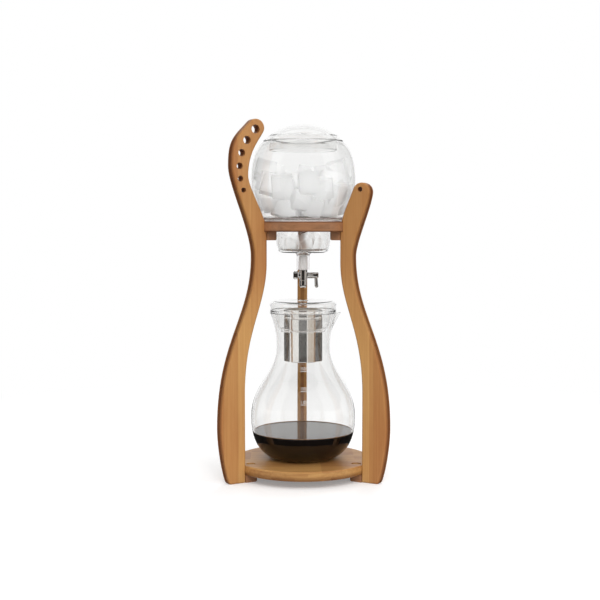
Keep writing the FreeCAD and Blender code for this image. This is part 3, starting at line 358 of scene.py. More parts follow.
def own_place(tree):
    """Where a point lies in the piece's own space."""
    return node(tree, "ShaderNodeTexCoord").outputs["Object"]


def dimmed(tone, share):
    """A colour with every part of it scaled."""
    return tuple(part * share for part in tone)


def seen_rays(tree):
    """One for rays from the camera, a mirror or glass, and nought for light that falls on things."""
    path = node(tree, "ShaderNodeLightPath")
    seen = maths(tree, "MAXIMUM", path.outputs["Is Camera Ray"], path.outputs["Is Glossy Ray"])
    return maths(tree, "MAXIMUM", seen, path.outputs["Is Transmission Ray"])


def lamps_through(tree, shader, kept):
    """Let rays that look for lamps pass a shader, with the share of the light that is kept."""
    clear = node(tree, "ShaderNodeBsdfTransparent")
    clear.inputs[0].default_value = (kept, kept, kept, 1)
    lamp = node(tree, "ShaderNodeLightPath").outputs["Is Shadow Ray"]
    return node(tree, "ShaderNodeMixShader", {0: lamp, 1: shader.outputs[0], 2: clear.outputs[0]})


def spread(tree, source, low, high, to_low=0.0, to_high=1.0):
    """Map a value from one range to another, kept within it."""
    made = tree.nodes.new("ShaderNodeMapRange")
    tree.links.new(source, made.inputs[0])
    for number, setting in enumerate((low, high, to_low, to_high), start=1):
        made.inputs[number].default_value = setting
    return made.outputs[0]


def grain_noise(tree, place, scale, detail, rough=0.5):
    """Noise with its own scale along each of the three axes of a place."""
    stretched = node(tree, "ShaderNodeVectorMath", {0: place}, operation="MULTIPLY")
    stretched.inputs[1].default_value = scale
    made = node(tree, "ShaderNodeTexNoise", {"Vector": stretched.outputs[0]}, scale=1.0, detail=detail,
                roughness=rough)
    return made.outputs["Fac"]


def new_group(name, inputs, outputs):
    """A node group with named sockets; returns it with its input and output nodes."""
    group = bpy.data.node_groups.new(name, "ShaderNodeTree")
    kinds = {"colour": "NodeSocketColor", "number": "NodeSocketFloat", "place": "NodeSocketVector"}
    for label, kind, default in inputs:
        socket = group.interface.new_socket(name=label, in_out="INPUT", socket_type=kinds[kind])
        if default is not None:
            socket.default_value = default
    for label, kind in outputs:
        group.interface.new_socket(name=label, in_out="OUTPUT", socket_type=kinds[kind])
    return group, group.nodes.new("NodeGroupInput"), group.nodes.new("NodeGroupOutput")


def use_group(tree, group, links, **settings):
    """Add a node group; settings go to its inputs, and so do links."""
    made = tree.nodes.new("ShaderNodeGroup")
    made.node_tree = group
    for label, setting in settings.items():
        made.inputs[label.replace("_", " ").capitalize()].default_value = setting
    for label, source in links.items():
        tree.links.new(source, made.inputs[label])
    return made


def bamboo_group():
    """Laminated bamboo: boards with their own tone, long fibres, flecks, glue lines and a core in painted
    shade.

    In the grain's place, Z runs along the fibres, X across the strips and Y through their thickness.
    """
    if "laminated bamboo" in bpy.data.node_groups:
        return bpy.data.node_groups["laminated bamboo"]
    group, given, result = new_group("laminated bamboo", [
        ("Grain place", "place", None),
        ("Light", "colour", (0.6, 0.34, 0.12, 1)),
        ("Dark", "colour", (0.4, 0.2, 0.08, 1)),
        ("Strip width", "number", 0.006),
        ("Strip depth", "number", 0.02),
        ("Board length", "number", 10.0),
        ("Red from", "number", 10.0),
        ("Dark above", "number", 10.0),
        ("Core", "number", 0.0),
        ("Seed", "number", 0.0),
        ("Contrast", "number", 1.0),
    ], [("Colour", "colour"), ("Roughness", "number"), ("Height", "number")])
    place = given.outputs["Grain place"]
    seed = given.outputs["Seed"]
    apart = node(group, "ShaderNodeSeparateXYZ", {0: place})
    across, through, along = apart.outputs
    wander = grain_noise(group, place, (30, 30, 9), 1)
    across = maths(group, "MULTIPLY_ADD", maths(group, "SUBTRACT", wander, 0.5), 0.0012, across)
    strip_at = maths(group, "DIVIDE", across, given.outputs["Strip width"])
    layer_at = maths(group, "DIVIDE", through, given.outputs["Strip depth"])
    strip = maths(group, "FLOOR", maths(group, "ADD", strip_at, seed))
    layer = maths(group, "FLOOR", maths(group, "ADD", layer_at, 0.5))
    board_at = maths(group, "DIVIDE", along, given.outputs["Board length"])
    board = maths(group, "FLOOR", maths(group, "MULTIPLY_ADD", strip, 0.37, board_at))
    number = node(group, "ShaderNodeCombineXYZ", {0: strip, 1: layer, 2: maths(group, "ADD", board, seed)})
    chance = node(group, "ShaderNodeTexWhiteNoise", {"Vector": number.outputs[0]}, noise_dimensions="3D")
    shifted = node(group, "ShaderNodeVectorMath", {0: place, 1: chance.outputs["Color"]}, operation="ADD")
    fibre_place = shifted.outputs[0]
    fibres = grain_noise(group, fibre_place, (1500, 1500, 22), 3, 0.6)
    streaks = grain_noise(group, fibre_place, (330, 330, 5), 3, 0.55)
    cloud = grain_noise(group, place, (24, 24, 9), 2)
    flecks = node(group, "ShaderNodeVectorMath", {0: fibre_place}, operation="MULTIPLY")
    flecks.inputs[1].default_value = (1100, 1100, 75)
    cells = node(group, "ShaderNodeTexVoronoi", {"Vector": flecks.outputs[0]}, scale=1.0)
    fleck = spread(group, cells.outputs["Distance"], 0.10, 0.26, 1.0, 0.0)
    joint_in = maths(group, "FRACT", maths(group, "ADD", strip_at, seed))
    joint_off = maths(group, "ABSOLUTE", maths(group, "SUBTRACT", joint_in, 0.5))
    joint = spread(group, joint_off, 0.482, 0.499)
    red = maths(group, "GREATER_THAN", across, given.outputs["Red from"])
    # Painted shade: a darker band along the middle of the thickness, standing in for a shaded flat edge
    core = maths(group, "LESS_THAN", maths(group, "ABSOLUTE", through), given.outputs["Core"])
    share = maths(group, "MULTIPLY", chance.outputs["Value"], 0.42)
    rise = maths(group, "SUBTRACT", along, given.outputs["Dark above"])
    masks = ((spread(group, streaks, 0.3, 0.7), 0.34), (spread(group, cloud, 0.35, 0.65), 0.22),
             (spread(group, fibres, 0.35, 0.7), 0.18), (fleck, 0.16), (red, 0.42),
             (spread(group, rise, -0.05, 0.05), 0.40))
    for mask, weight in masks:
        share = maths(group, "MULTIPLY_ADD", mask, weight, share)
    share = maths(group, "SUBTRACT", share, 0.20)
    share = maths(group, "MULTIPLY", share, given.outputs["Contrast"], clamp=True)
    ground = mix_colour(group, share, given.outputs["Light"], given.outputs["Dark"])
    # One stain for the glue lines between strips and for the core's painted shade
    glue_and_shade = (0.55, 0.46, 0.40)
    lines = maths(group, "MULTIPLY_ADD", core, 0.85, maths(group, "MULTIPLY", joint, 0.45), clamp=True)
    group.links.new(stained(group, lines, ground, glue_and_shade), result.inputs["Colour"])
    sheen = maths(group, "MULTIPLY_ADD", fibres, 0.18, 0.34)
    group.links.new(maths(group, "MULTIPLY_ADD", fleck, 0.12, sheen), result.inputs["Roughness"])
    height = maths(group, "MULTIPLY_ADD", fleck, -0.5, maths(group, "MULTIPLY", fibres, 0.6))
    group.links.new(maths(group, "MULTIPLY_ADD", joint, -0.9, height), result.inputs["Height"])
    return group


def handled_group():
    """Faint smears and dust that hands and rinsing leave: a mask, and a height for fine scratches."""
    if "handled surface" in bpy.data.node_groups:
        return bpy.data.node_groups["handled surface"]
    group, given, result = new_group("handled surface", [
        ("Place", "place", None), ("Smear size", "number", 40.0), ("Amount", "number", 1.0),
    ], [("Mask", "number"), ("Height", "number")])
    scaled = node(group, "ShaderNodeVectorMath", {0: given.outputs["Place"]}, operation="SCALE")
    group.links.new(given.outputs["Smear size"], scaled.inputs["Scale"])
    smears = node(group, "ShaderNodeTexNoise", {"Vector": scaled.outputs[0]}, scale=1.0, detail=4.0,
                  roughness=0.6, distortion=0.8)
    mask = spread(group, smears.outputs["Fac"], 0.48, 0.72)
    scratches = grain_noise(group, given.outputs["Place"], (2600, 2600, 2600), 2)
    group.links.new(maths(group, "MULTIPLY", mask, given.outputs["Amount"]), result.inputs["Mask"])
    group.links.new(scratches, result.inputs["Height"])
    return group


def handling(tree, place, smear_size, amount=1.0):
    """The marks of hands on a piece; its outputs are the group's mask and height."""
    return use_group(tree, handled_group(), {"Place": place}, smear_size=smear_size, amount=amount)


# ---------------------------------------------------------------- finishes

@made_once
def bamboo(name, light, dark, turn, strip, seed, depth=20 * MM, contrast=1.0, board=10.0, red_from=10.0,
           dark_above=10.0, core=0.0, shaded_facing=None, rims=()):
    """A lacquered bamboo finish; turn lays the fibres along the piece.

    Faces whose normals lie along the given direction get a painted shade, and so do bands about the rims,
    which are pairs of a level and a reach.
    """
    material, tree = new_material(name)
    where = node(tree, "ShaderNodeTexCoord")
    place = where.outputs["Object"]
    about = node(tree, "ShaderNodeVectorMath", {0: place}, operation="SUBTRACT")
    about.inputs[1].default_value = AXIS
    laid = node(tree, "ShaderNodeVectorRotate", {0: about.outputs[0]}, rotation_type="EULER_XYZ",
                invert=True)
    laid.inputs["Rotation"].default_value = turn
    boards = use_group(tree, bamboo_group(), {"Grain place": laid.outputs[0]}, light=(*light, 1),
                       dark=(*dark, 1), strip_width=strip, strip_depth=depth, seed=seed, contrast=contrast,
                       board_length=board, red_from=red_from, dark_above=dark_above, core=core)
    colour = boards.outputs["Colour"]
    # Stains of painted shade: the first for faces turned along the given direction, the second for rounded
    # rims
    facing_shade, rim_shade = (0.66, 0.58, 0.52), (0.45, 0.36, 0.30)
    # Painted shade: faces turned along the given direction are darker
    if shaded_facing:
        facing = node(tree, "ShaderNodeVectorMath", {0: where.outputs["Normal"]}, operation="DOT_PRODUCT")
        facing.inputs[1].default_value = shaded_facing
        edge = spread(tree, facing.outputs["Value"], 0.35, 0.95)
        colour = stained(tree, edge, colour, facing_shade)
    height = node(tree, "ShaderNodeSeparateXYZ", {0: place}).outputs[2]
    # Painted shade: a band about each rim is darker
    for level, reach in rims:
        off = maths(tree, "ABSOLUTE", maths(tree, "SUBTRACT", height, level))
        edge = spread(tree, off, 0.4 * reach, reach, 0.85, 0.0)
        colour = stained(tree, edge, colour, rim_shade)
    handled = handling(tree, place, 26.0, 0.5)
    rough = maths(tree, "MULTIPLY_ADD", handled.outputs["Mask"], 0.12, boards.outputs["Roughness"])
    bump = bumped(tree, boards.outputs["Height"], 0.35, 0.12 * MM)
    shader = node(tree, "ShaderNodeBsdfPrincipled",
                  {"Base Color": colour, "Roughness": rough, "Normal": bump},
                  coat_weight=0.08, coat_roughness=0.25)
    shader.inputs["Specular IOR Level"].default_value = 0.4
    show(tree, shader)
    return material


@made_once
def clear_glass(name, left, density, ripple, edge=0.18, ior=1.5, kept=0.972, depth_scale=18.0):
    """Glass that lets lamps through; its edges darken, as the long way through the wall does."""
    material, tree = new_material(name)
    place = own_place(tree)
    facing = node(tree, "ShaderNodeLayerWeight", blend=0.5).outputs["Facing"]
    rim = spread(tree, maths(tree, "POWER", facing, 3.0), 0.45, 1.0, 0.0, edge)
    tint = mix_colour(tree, rim, (kept, kept, kept - 0.004), (0.72, 0.72, 0.71))
    waves = grain_noise(tree, place, (depth_scale,) * 3, 2)
    bump = bumped(tree, waves, 1.0, ripple)
    handled = handling(tree, place, 30.0)
    roughness = maths(tree, "MULTIPLY", handled.outputs["Mask"], 0.012)
    glass = node(tree, "ShaderNodeBsdfPrincipled",
                 {"Base Color": tint, "Normal": bump, "Roughness": roughness},
                 transmission_weight=1.0)
    glass.inputs["IOR"].default_value = ior
    both = lamps_through(tree, glass, 0.97)
    inside = node(tree, "ShaderNodeVolumeAbsorption", density=density)
    inside.inputs["Color"].default_value = (*left, 1)
    node(tree, "ShaderNodeOutputMaterial", {"Surface": both.outputs[0], "Volume": inside.outputs[0]})
    return material


def carafe_glass(scene):
    """The glass of the carafe, its filter holder and its lid."""
    return clear_glass("carafe glass", tuple(scene.tower_colours.glass), 8.0, scene.tower_glass.ripple,
                       kept=0.962)


@made_once
def cloudy_ice(name, tone, clearness, rough=0.3, ior=1.15):
    """Frosted ice that scatters what stands behind it, with cloudier patches and thin grey outlines."""
    material, tree = new_material(name)
    place = own_place(tree)
    facing = node(tree, "ShaderNodeLayerWeight", blend=0.5).outputs["Facing"]
    rim = spread(tree, facing, 0.78, 0.98, 0.0, 0.3)
    cloud = grain_noise(tree, place, (70, 70, 70), 3)
    milk = mix_colour(tree, cloud, tone, dimmed(tone, 0.99))
    tint = mix_colour(tree, rim, milk, dimmed(tone, 0.6))
    roughness = spread(tree, cloud, 0.35, 0.65, rough, rough + 0.2)
    dents = grain_noise(tree, place, (160, 160, 160), 2)
    bump = bumped(tree, dents, 0.5, 0.4 * MM)
    ice = node(tree, "ShaderNodeBsdfPrincipled",
               {"Base Color": tint, "Normal": bump, "Roughness": roughness},
               transmission_weight=clearness, subsurface_weight=1.0, subsurface_scale=0.02)
    ice.inputs["IOR"].default_value = ior
    ice.inputs["Subsurface Radius"].default_value = (1, 1, 1)
    both = lamps_through(tree, ice, 0.99)
    show(tree, both)
    return material


@made_once
def polished_steel(name, tone, rough, smear=0.10):
    """Bright steel with fine turning lines and a few smears."""
    material, tree = new_material(name)
    place = own_place(tree)
    lines = grain_noise(tree, place, (60, 60, 2600), 2)
    handled = handling(tree, place, 70.0)
    roughness = maths(tree, "MULTIPLY_ADD", handled.outputs["Mask"], smear, rough)
    roughness = maths(tree, "MULTIPLY_ADD", lines, 0.05, roughness)
    shade = maths(tree, "MULTIPLY_ADD", handled.outputs["Mask"], 0.10, 0.0)
    base = mix_colour(tree, shade, tone, dimmed(tone, 0.75))
    bump = bumped(tree, lines, 0.3, 0.004 * MM)
    steel = node(tree, "ShaderNodeBsdfPrincipled",
                 {"Base Color": base, "Roughness": roughness, "Normal": bump}, metallic=1.0)
    show(tree, steel)
    return material


@made_once
def soft_silicone(name, tone):
    """Milky silicone with a matt skin."""
    material, tree = new_material(name)
    place = own_place(tree)
    cloud = grain_noise(tree, place, (220, 220, 220), 2)
    handled = handling(tree, place, 120.0, 0.6)
    base = mix_colour(tree, cloud, tone, dimmed(tone, 0.86))
    rough = maths(tree, "MULTIPLY_ADD", handled.outputs["Mask"], 0.15, 0.42)
    bump = bumped(tree, handled.outputs["Height"], 0.3, 0.02 * MM)
    shader = node(tree, "ShaderNodeBsdfPrincipled",
                  {"Base Color": base, "Roughness": rough, "Normal": bump},
                  subsurface_weight=0.15, subsurface_scale=0.003)
    show(tree, shader)
    return material


@made_once
def coffee_finish(name, tone, glossy):
    """Dark coffee, a thin tan line where it climbs glass; only its surface mirrors and has a painted sheen.
    """
    material, tree = new_material(name)
    level = bpy.context.scene.tower_contents.coffee_level
    place = own_place(tree)
    height = node(tree, "ShaderNodeSeparateXYZ", {0: place}).outputs[2]
    film = spread(tree, height, level + 0.1 * MM, level + 0.9 * MM)
    cloud = grain_noise(tree, place, (35, 35, 35), 3)
    # Painted sheen: the surface's colour is lifted a little over the body's
    if glossy:
        tone = tuple(part + painted_sheen for part, painted_sheen in zip(tone, (0.022, 0.016, 0.012)))
    deep = mix_colour(tree, cloud, tone, dimmed(tone, 1.5))
    base = mix_colour(tree, film, deep, (0.40, 0.20, 0.08))
    ripple = grain_noise(tree, place, (60, 60, 60), 2)
    rough = maths(tree, "MULTIPLY_ADD", ripple, 0.02, 0.01)
    bump = bumped(tree, ripple, 0.4, 0.02 * MM)
    shader = node(tree, "ShaderNodeBsdfPrincipled", {"Base Color": base, "Roughness": rough, "Normal": bump})
    shader.inputs["IOR"].default_value = 1.40
    shader.inputs["Specular IOR Level"].default_value = 0.5 if glossy else 0.0
    show(tree, shader)
    return material


def ground_coffee(tone):
    """Loose brown grounds."""
    material, tree = new_material("coffee grounds")
    place = own_place(tree)
    grains = node(tree, "ShaderNodeTexVoronoi", {"Vector": place}, scale=900.0)
    base = mix_colour(tree, grains.outputs["Distance"], dimmed(tone, 1.6), tone)
    bump = bumped(tree, grains.outputs["Distance"], 0.8, 0.5 * MM)
    shader = node(tree, "ShaderNodeBsdfPrincipled", {"Base Color": base, "Normal": bump}, roughness=0.85)
    show(tree, shader)
    return material


def scale_print(tone):
    """White enamel, a little worn."""
    material, tree = new_material("printed enamel")
    place = own_place(tree)
    handled = handling(tree, place, 300.0)
    base = mix_colour(tree, handled.outputs["Mask"], tone, dimmed(tone, 0.8))
    shader = node(tree, "ShaderNodeBsdfPrincipled", {"Base Color": base}, roughness=0.35)
    show(tree, shader)
    return material


def dress(node_name, material):
    """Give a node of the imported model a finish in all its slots."""
    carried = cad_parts[node_name]
    carried.data.materials.clear()
    carried.data.materials.append(material)


# ---------------------------------------------------------------- sections of the glassware

def vessel_side(wall):
    """The vessel's side from the mouth down to the spout; wall is how far the glass is inset."""
    mouth, belly, flank, heel = 54.6 * MM, 72.2 * MM, 60.6 * MM, 53 * MM
    neck_top, neck_foot, neck_floor, spout = 38.4 * MM, 36.6 * MM, 29.5 * MM, 9 * MM
    neck_corner, spout_corner, neck_floor_fall = 3 * MM, 3.5 * MM, 1 * MM
    belly_level, flank_level = VESSEL_FLOOR + 51 * MM, VESSEL_FLOOR + 10 * MM
    neck_foot_level, neck_floor_level = VESSEL_FLOOR - 34.5 * MM, VESSEL_FLOOR - 43.7 * MM
    floor, under = VESSEL_FLOOR + wall, neck_floor_level + wall
    spout_level = under - neck_floor_fall
    return [
        (mouth - wall, VESSEL_RIM),
        (belly - wall, belly_level, -37, -90, 0.32, 0.31),
        (flank - wall, flank_level, -90, -110, 0.40, 0.36),
        (heel - 0.3 * wall, floor, -110, -180, 0.36, 0.42),
        (neck_top - wall + neck_corner, floor),
        (neck_top - wall, floor - neck_corner, -180, -90),
        (neck_foot - wall, neck_foot_level, -90, -104),
        (neck_floor - 0.2 * wall, under, -104, -180, 0.40, 0.36),
        (spout - wall + spout_corner, spout_level),
        (spout - wall, spout_level - spout_corner, -180, -90),
        (spout - wall, SPOUT_END),
    ]


def carafe_side(wall, floor):
    """The carafe's side from the middle of its bottom up to the rim."""
    foot, belly, waist, mouth = 38 * MM, 72.1 * MM, 37.1 * MM, 45.8 * MM
    belly_level, waist_level = BASE_TOP + 58 * MM, BASE_TOP + 154.5 * MM
    return [
        (0, BASE_TOP + floor),
        (foot, BASE_TOP + floor),
        (belly - wall, belly_level, 12, 90, 0.34, 0.46),
        (waist - wall, waist_level, 90, 90, 0.42, 0.34),
        (mouth - wall, CARAFE_RIM, 90, 69, 0.29, 0.36),
    ]


def soften_rim(outer, inner, round_by):
    """Two small arcs that join two sides over a rim, from the outer side to the inner one."""
    (r_out, z), (r_in, _) = outer, inner
    return (arc((r_out - round_by, z - round_by), round_by, 0, 90)
            + arc((r_in + round_by, z - round_by), round_by, 90, 180))


def level_radius(section, level):
    """Radius of a side at a level, where the side passes it once."""
    for (r1, z1), (r2, z2) in zip(section, section[1:]):
        if min(z1, z2) <= level <= max(z1, z2) and z1 != z2:
            return r1 + (r2 - r1) * (level - z1) / (z2 - z1)
    raise ValueError(f"the side doesn't reach {level}")


def lip_reach(radius, level, turn, inset):
    """The carafe's radius in a direction, drawn out to the pouring lip on the +X side.

    The lip is a cone that leans outwards: from its root it widens to the lip's width at the rim, and soft
    is how gently it leaves the round side.
    """
    lean, tall, fade, soft = math.radians(18), 31 * MM, 6 * MM, 1.2 * MM
    lip_end, root_width, lip_width = 52.4 * MM, 2 * MM, 9 * MM
    root_level = CARAFE_RIM - tall
    if level < root_level - fade:
        return radius
    rise = (level - root_level) / math.cos(lean)
    width = root_width + (lip_width - root_width) * rise / (tall / math.cos(lean)) - inset
    centre = lip_end - lip_width / math.cos(lean) - (CARAFE_RIM - level) * math.tan(lean)
    sideways = centre * math.sin(turn)
    if math.cos(turn) <= 0 or abs(sideways) >= width or width <= 0:
        return radius
    edge = centre * math.cos(turn) + math.sqrt(width * width - sideways * sideways)
    if edge < radius - 3 * soft:
        return radius
    return radius + soft * math.log1p(math.exp(min((edge - radius) / soft, 30)))


# ---------------------------------------------------------------- operators

class TOWER_OT_stage(Operator):
    """Pale floor, soft lamps, white surroundings and the camera"""
    bl_idname = "tower.stage"
    bl_label = "Studio"

    def execute(self, context):
        scene = context.scene
        sizes = scene.tower_stage
        scene.view_settings.view_transform = "Standard"
        paths = scene.cycles
        paths.max_bounces, paths.glossy_bounces, paths.transmission_bounces = 40, 12, 36
        self.surroundings(scene, sizes.sky)
        self.floor(scene)
        self.cards(scene)
        self.lamp(scene, "key lamp", (0.1, -1.75, 1.25), 1.3, sizes.key)
        self.lamp(scene, "fill lamp", (1.5, -1.0, 0.7), 1.2, sizes.fill)
        self.lamp(scene, "back lamp", (0.5, 1.6, 1.1), 1.2, sizes.back)
        self.camera(scene, sizes)
        return {"FINISHED"}

    def surroundings(self, scene, sky):
        """Plain white where it is seen, with a light of its own strength that falls on the tower."""
        scene.world = bpy.data.worlds.new("white surroundings")
        scene.world.use_nodes = True
        tree = scene.world.node_tree
        tree.nodes.clear()
        light = node(tree, "ShaderNodeBackground", strength=sky)
        white = node(tree, "ShaderNodeBackground", strength=1.0)
        for background in (light, white):
            background.inputs["Color"].default_value = (1, 1, 1, 1)
        both = node(tree, "ShaderNodeMixShader",
                    {0: seen_rays(tree), 1: light.outputs[0], 2: white.outputs[0]})
        node(tree, "ShaderNodeOutputWorld", {"Surface": both.outputs[0]})

    def camera(self, scene, sizes):
        """The camera, on its orbit about the tower's axis."""
        camera = bpy.data.objects.new("camera", bpy.data.cameras.new("camera"))
        scene.collection.objects.link(camera)
        camera.data.lens = sizes.lens
        camera.data.sensor_width = 36
        camera.data.clip_end = 50
        turn = Matrix.Rotation(-sizes.orbit, 4, "Z")
        camera.location = AXIS + turn @ Vector((-sizes.aside, -sizes.distance, sizes.height))
        camera.rotation_euler = (math.pi / 2 - sizes.pitch, 0, -sizes.orbit)
        scene.camera = camera

    def floor(self, scene):
        """A pale floor that takes the tower's shadow and turns into plain white further off."""
        bm = bmesh.new()
        bmesh.ops.create_circle(bm, cap_ends=True, segments=96, radius=5.0)
        floor = bpy.data.objects.new("floor", mesh_from("floor", bm))
        scene.collection.objects.link(floor)
        material, tree = new_material("pale floor")
        seen = seen_rays(tree)
        distance = node(tree, "ShaderNodeVectorMath", {0: own_place(tree)}, operation="LENGTH")
        far_off = spread(tree, distance.outputs["Value"], 0.35, 0.9)
        paper = node(tree, "ShaderNodeBsdfDiffuse")
        paper.inputs["Color"].default_value = (0.82, 0.82, 0.82, 1)
        glow = node(tree, "ShaderNodeEmission", {"Strength": maths(tree, "MULTIPLY", seen, 0.24)})
        near = node(tree, "ShaderNodeAddShader", {0: paper.outputs[0], 1: glow.outputs[0]})
        far = node(tree, "ShaderNodeEmission", {"Strength": seen})
        both = node(tree, "ShaderNodeMixShader", {0: far_off, 1: near.outputs[0], 2: far.outputs[0]})
        show(tree, both)
        floor.data.materials.append(material)

    def cards(self, scene):
        """Curved cards that only show in polished surfaces, by their bearing from the camera's side."""
        dark, beige = (0.035, 0.032, 0.029), (0.62, 0.54, 0.46)
        near = (("front", -50, 46, dark), ("left", -150, -78, dark), ("right", 78, 150, dark))
        behind_glass = (("front", -26, 21, dark), ("beige", 27, 66, beige), ("left", -150, -84, dark),
                        ("right", 66, 150, dark))
        away, ceiling = 1.2, 1.4
        for label, cards, top, foot, crossings in (("bare", near, ceiling, away, (0,)),
                                                   ("glazed", behind_glass, 0.6, 0.6, (4, 8))):
            edges = ((foot, 0.001), (away, 0.002), (away, top))
            for name, start, end, shade in cards:
                self.card(scene, f"{name} card {label}", start, end, edges, shade, crossings)
        self.card(scene, "ceiling card", -90, 90, ((away, ceiling), (0.02, ceiling)), dark, (0, 2))
        self.card(scene, "low card", -180, 180, ((0.097, 0.0005), (1.15, 0.0005)), dark, (0,))

    def card(self, scene, name, start, end, edges, shade, crossings):
        """A card seen after one mirroring, by rays that have crossed one of these numbers of glass faces."""
        bm = bmesh.new()
        steps = 32
        turns = [math.radians(start + (end - start) * number / steps) for number in range(steps + 1)]
        rows = [[bm.verts.new((radius * math.sin(turn), -radius * math.cos(turn), level)) for turn in turns]
                for radius, level in edges]
        for lower, upper in zip(rows, rows[1:]):
            for number in range(steps):
                bm.faces.new((lower[number], lower[number + 1], upper[number + 1], upper[number]))
        card = bpy.data.objects.new(name, mesh_from(name, bm))
        card.location = AXIS
        scene.collection.objects.link(card)
        material, tree = new_material(name)
        paint = node(tree, "ShaderNodeEmission")
        paint.inputs["Color"].default_value = (*shade, 1)
        path = node(tree, "ShaderNodeLightPath")
        shown = 0.0
        for crossed in crossings:
            is_crossed = maths(tree, "COMPARE", path.outputs["Transmission Depth"], crossed, 0.5)
            shown = maths(tree, "ADD", is_crossed, shown)
        once = maths(tree, "COMPARE", path.outputs["Glossy Depth"], 1, 0.5)
        mirrored = maths(tree, "MULTIPLY", once, shown)
        nothing = node(tree, "ShaderNodeBsdfTransparent")
        both = node(tree, "ShaderNodeMixShader", {0: mirrored, 1: nothing.outputs[0], 2: paint.outputs[0]})
        show(tree, both)
        card.data.materials.append(material)
        for ray in ("camera", "diffuse", "shadow", "volume_scatter"):
            setattr(card, f"visible_{ray}", False)

    def lamp(self, scene, name, offset, size, watts):
        """A round soft lamp that looks at the tower's middle, and that no mirror or glass shows."""
        middle = AXIS + Vector((0, 0, 0.24))
        data = bpy.data.lights.new(name, "AREA")
        data.shape = "DISK"
        data.size = size
        data.energy = watts
        lamp = bpy.data.objects.new(name, data)
        lamp.location = middle + Vector(offset)
        lamp.rotation_euler = (-Vector(offset)).to_track_quat("-Z", "Y").to_euler()
        lamp.visible_glossy = lamp.visible_transmission = False
        scene.collection.objects.link(lamp)


class TOWER_OT_bamboo(Operator):
    """Laminated bamboo on the posts, discs, blocks, cleats, plugs and dowels"""
    bl_idname = "tower.bamboo"
    bl_label = "Bamboo stand"

    def execute(self, context):
        colours = context.scene.tower_colours
        light, red = tuple(colours.bamboo_light), tuple(colours.bamboo_red)
        dark = tuple(colours.bamboo_dark)
        posts = (("left", 210, 250), ("right", -30, 250), ("rear", 90, 1000))
        for number, (side, degrees, above) in enumerate(posts):
            angle = math.radians(degrees)
            # Each post's outer side gets a painted shade, and so does a band along the middle of its
            # thickness
            post = bamboo(f"bamboo {side} post", light, red, (0, 0, angle), strip=21 * MM, depth=4.8 * MM,
                          seed=3.7 * number, red_from=105 * MM, dark_above=above * MM, core=2.6 * MM,
                          shaded_facing=(math.cos(angle), math.sin(angle), 0))
            dress(f"{side}_post", post)
            lying = (math.pi / 2, 0, angle + math.pi / 2)
            block = bamboo(f"bamboo {side} block", dark, dimmed(dark, 0.6), lying,
                           strip=9 * MM, depth=5 * MM, seed=5.1 + number)
            dress(f"{side}_foot_block", block)
            dress(f"{side}_cleat", block)
        across = (0, math.pi / 2, 0)
        # Painted shade: the band about the disc's lower rim is darker
        disc = bamboo("bamboo base disc", dimmed(light, 0.9), dimmed(red, 0.75), across,
                      strip=6.5 * MM, depth=24 * MM, seed=0.3, board=48 * MM, contrast=1.3,
                      rims=((base_low.z, 7 * MM),))
        dress("base_disc", disc)
        # Painted shade: the bands about the ring's top and bottom rims are darker
        low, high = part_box("shelf_ring")
        ring = bamboo("bamboo shelf ring", dark, dimmed(dark, 0.55), across, strip=6.75 * MM, depth=22 * MM,
                      seed=2.4, board=70 * MM, contrast=1.5,
                      rims=((low.z, 2.4 * MM), (high.z, 2.4 * MM)))
        dress("shelf_ring", ring)
        plug = bamboo("bamboo plugs", light, dimmed(light, 0.55), (0, 0.4, 0), strip=9 * MM,
                      seed=7.7)
        for name in ("screw_plugs", "foot_dowels", "cleat_dowels"):
            dress(name, plug)
        zinc = polished_steel("zinc screws", (0.55, 0.54, 0.50), rough=0.3)
        for name in ("base_screws", "shelf_screws"):
            dress(name, zinc)
        return {"FINISHED"}


class TOWER_OT_ice_vessel(Operator):
    """Glass vessel with its neck and spout, and the gasket under it"""
    bl_idname = "tower.ice_vessel"
    bl_label = "Ice vessel"

    def execute(self, context):
        sizes = context.scene.tower_glass
        colours = context.scene.tower_colours
        glass = clear_glass("vessel glass", tuple(colours.glass), 7.0, sizes.ripple)
        outer = trace(vessel_side(0))
        inner = trace(vessel_side(sizes.vessel_wall))
        rim = soften_rim(outer[0], inner[0], sizes.rim_round)
        section = outer[1:] + inner[1:][::-1] + rim[::-1]
        turned_piece("ice_vessel_glass", section, "vessel", glass, ["ice_vessel"])
        for name in ("vessel_gasket", "stopper"):
            dress(name, soft_silicone("silicone", tuple(colours.silicone)))
        return {"FINISHED"}


class TOWER_OT_dome_lid(Operator):
    """Shallow glass dome with a skirt inside the vessel's mouth"""
    bl_idname = "tower.dome_lid"
    bl_label = "Dome lid"

    def execute(self, context):
        sizes = context.scene.tower_glass
        colours = context.scene.tower_colours
        glass = clear_glass("lid glass", tuple(colours.glass), 7.0, sizes.ripple)
        low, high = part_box("dome_lid")
        wall, corner = sizes.lid_wall, 0.3 * MM
        seat = VESSEL_RIM + 0.05 * MM
        radius = 77.5 * MM
        centre, thin = high.z - radius, radius - wall
        edge = high.x - AXIS.x
        skirt_out = 46.5 * MM
        skirt_in = skirt_out - wall

        def bearing(reach, sphere):
            """Degrees above the level at which a sphere of glass has this reach from the axis."""
            return math.degrees(math.acos(reach / sphere))

        dome = arc((0, centre), radius, bearing(edge, radius), 90, 28)
        dome[-1] = (0, dome[-1][1])
        under = arc((0, centre), thin, 90, bearing(skirt_in, thin), 22)
        under[0] = (0, under[0][1])
        skirt_end = arc((skirt_in + wall / 2, low.z + wall / 2), wall / 2, 180, 360, 8)
        seated = math.degrees(math.asin((seat - centre) / thin))
        ledge = arc((0, centre), thin, bearing(skirt_out, thin), seated, 5)
        section = dome + under + skirt_end + ledge + [(edge - corner, seat), (edge, seat + corner)]
        turned_piece("dome_lid_glass", section, "vessel_lid", glass, ["dome_lid"])
        return {"FINISHED"}


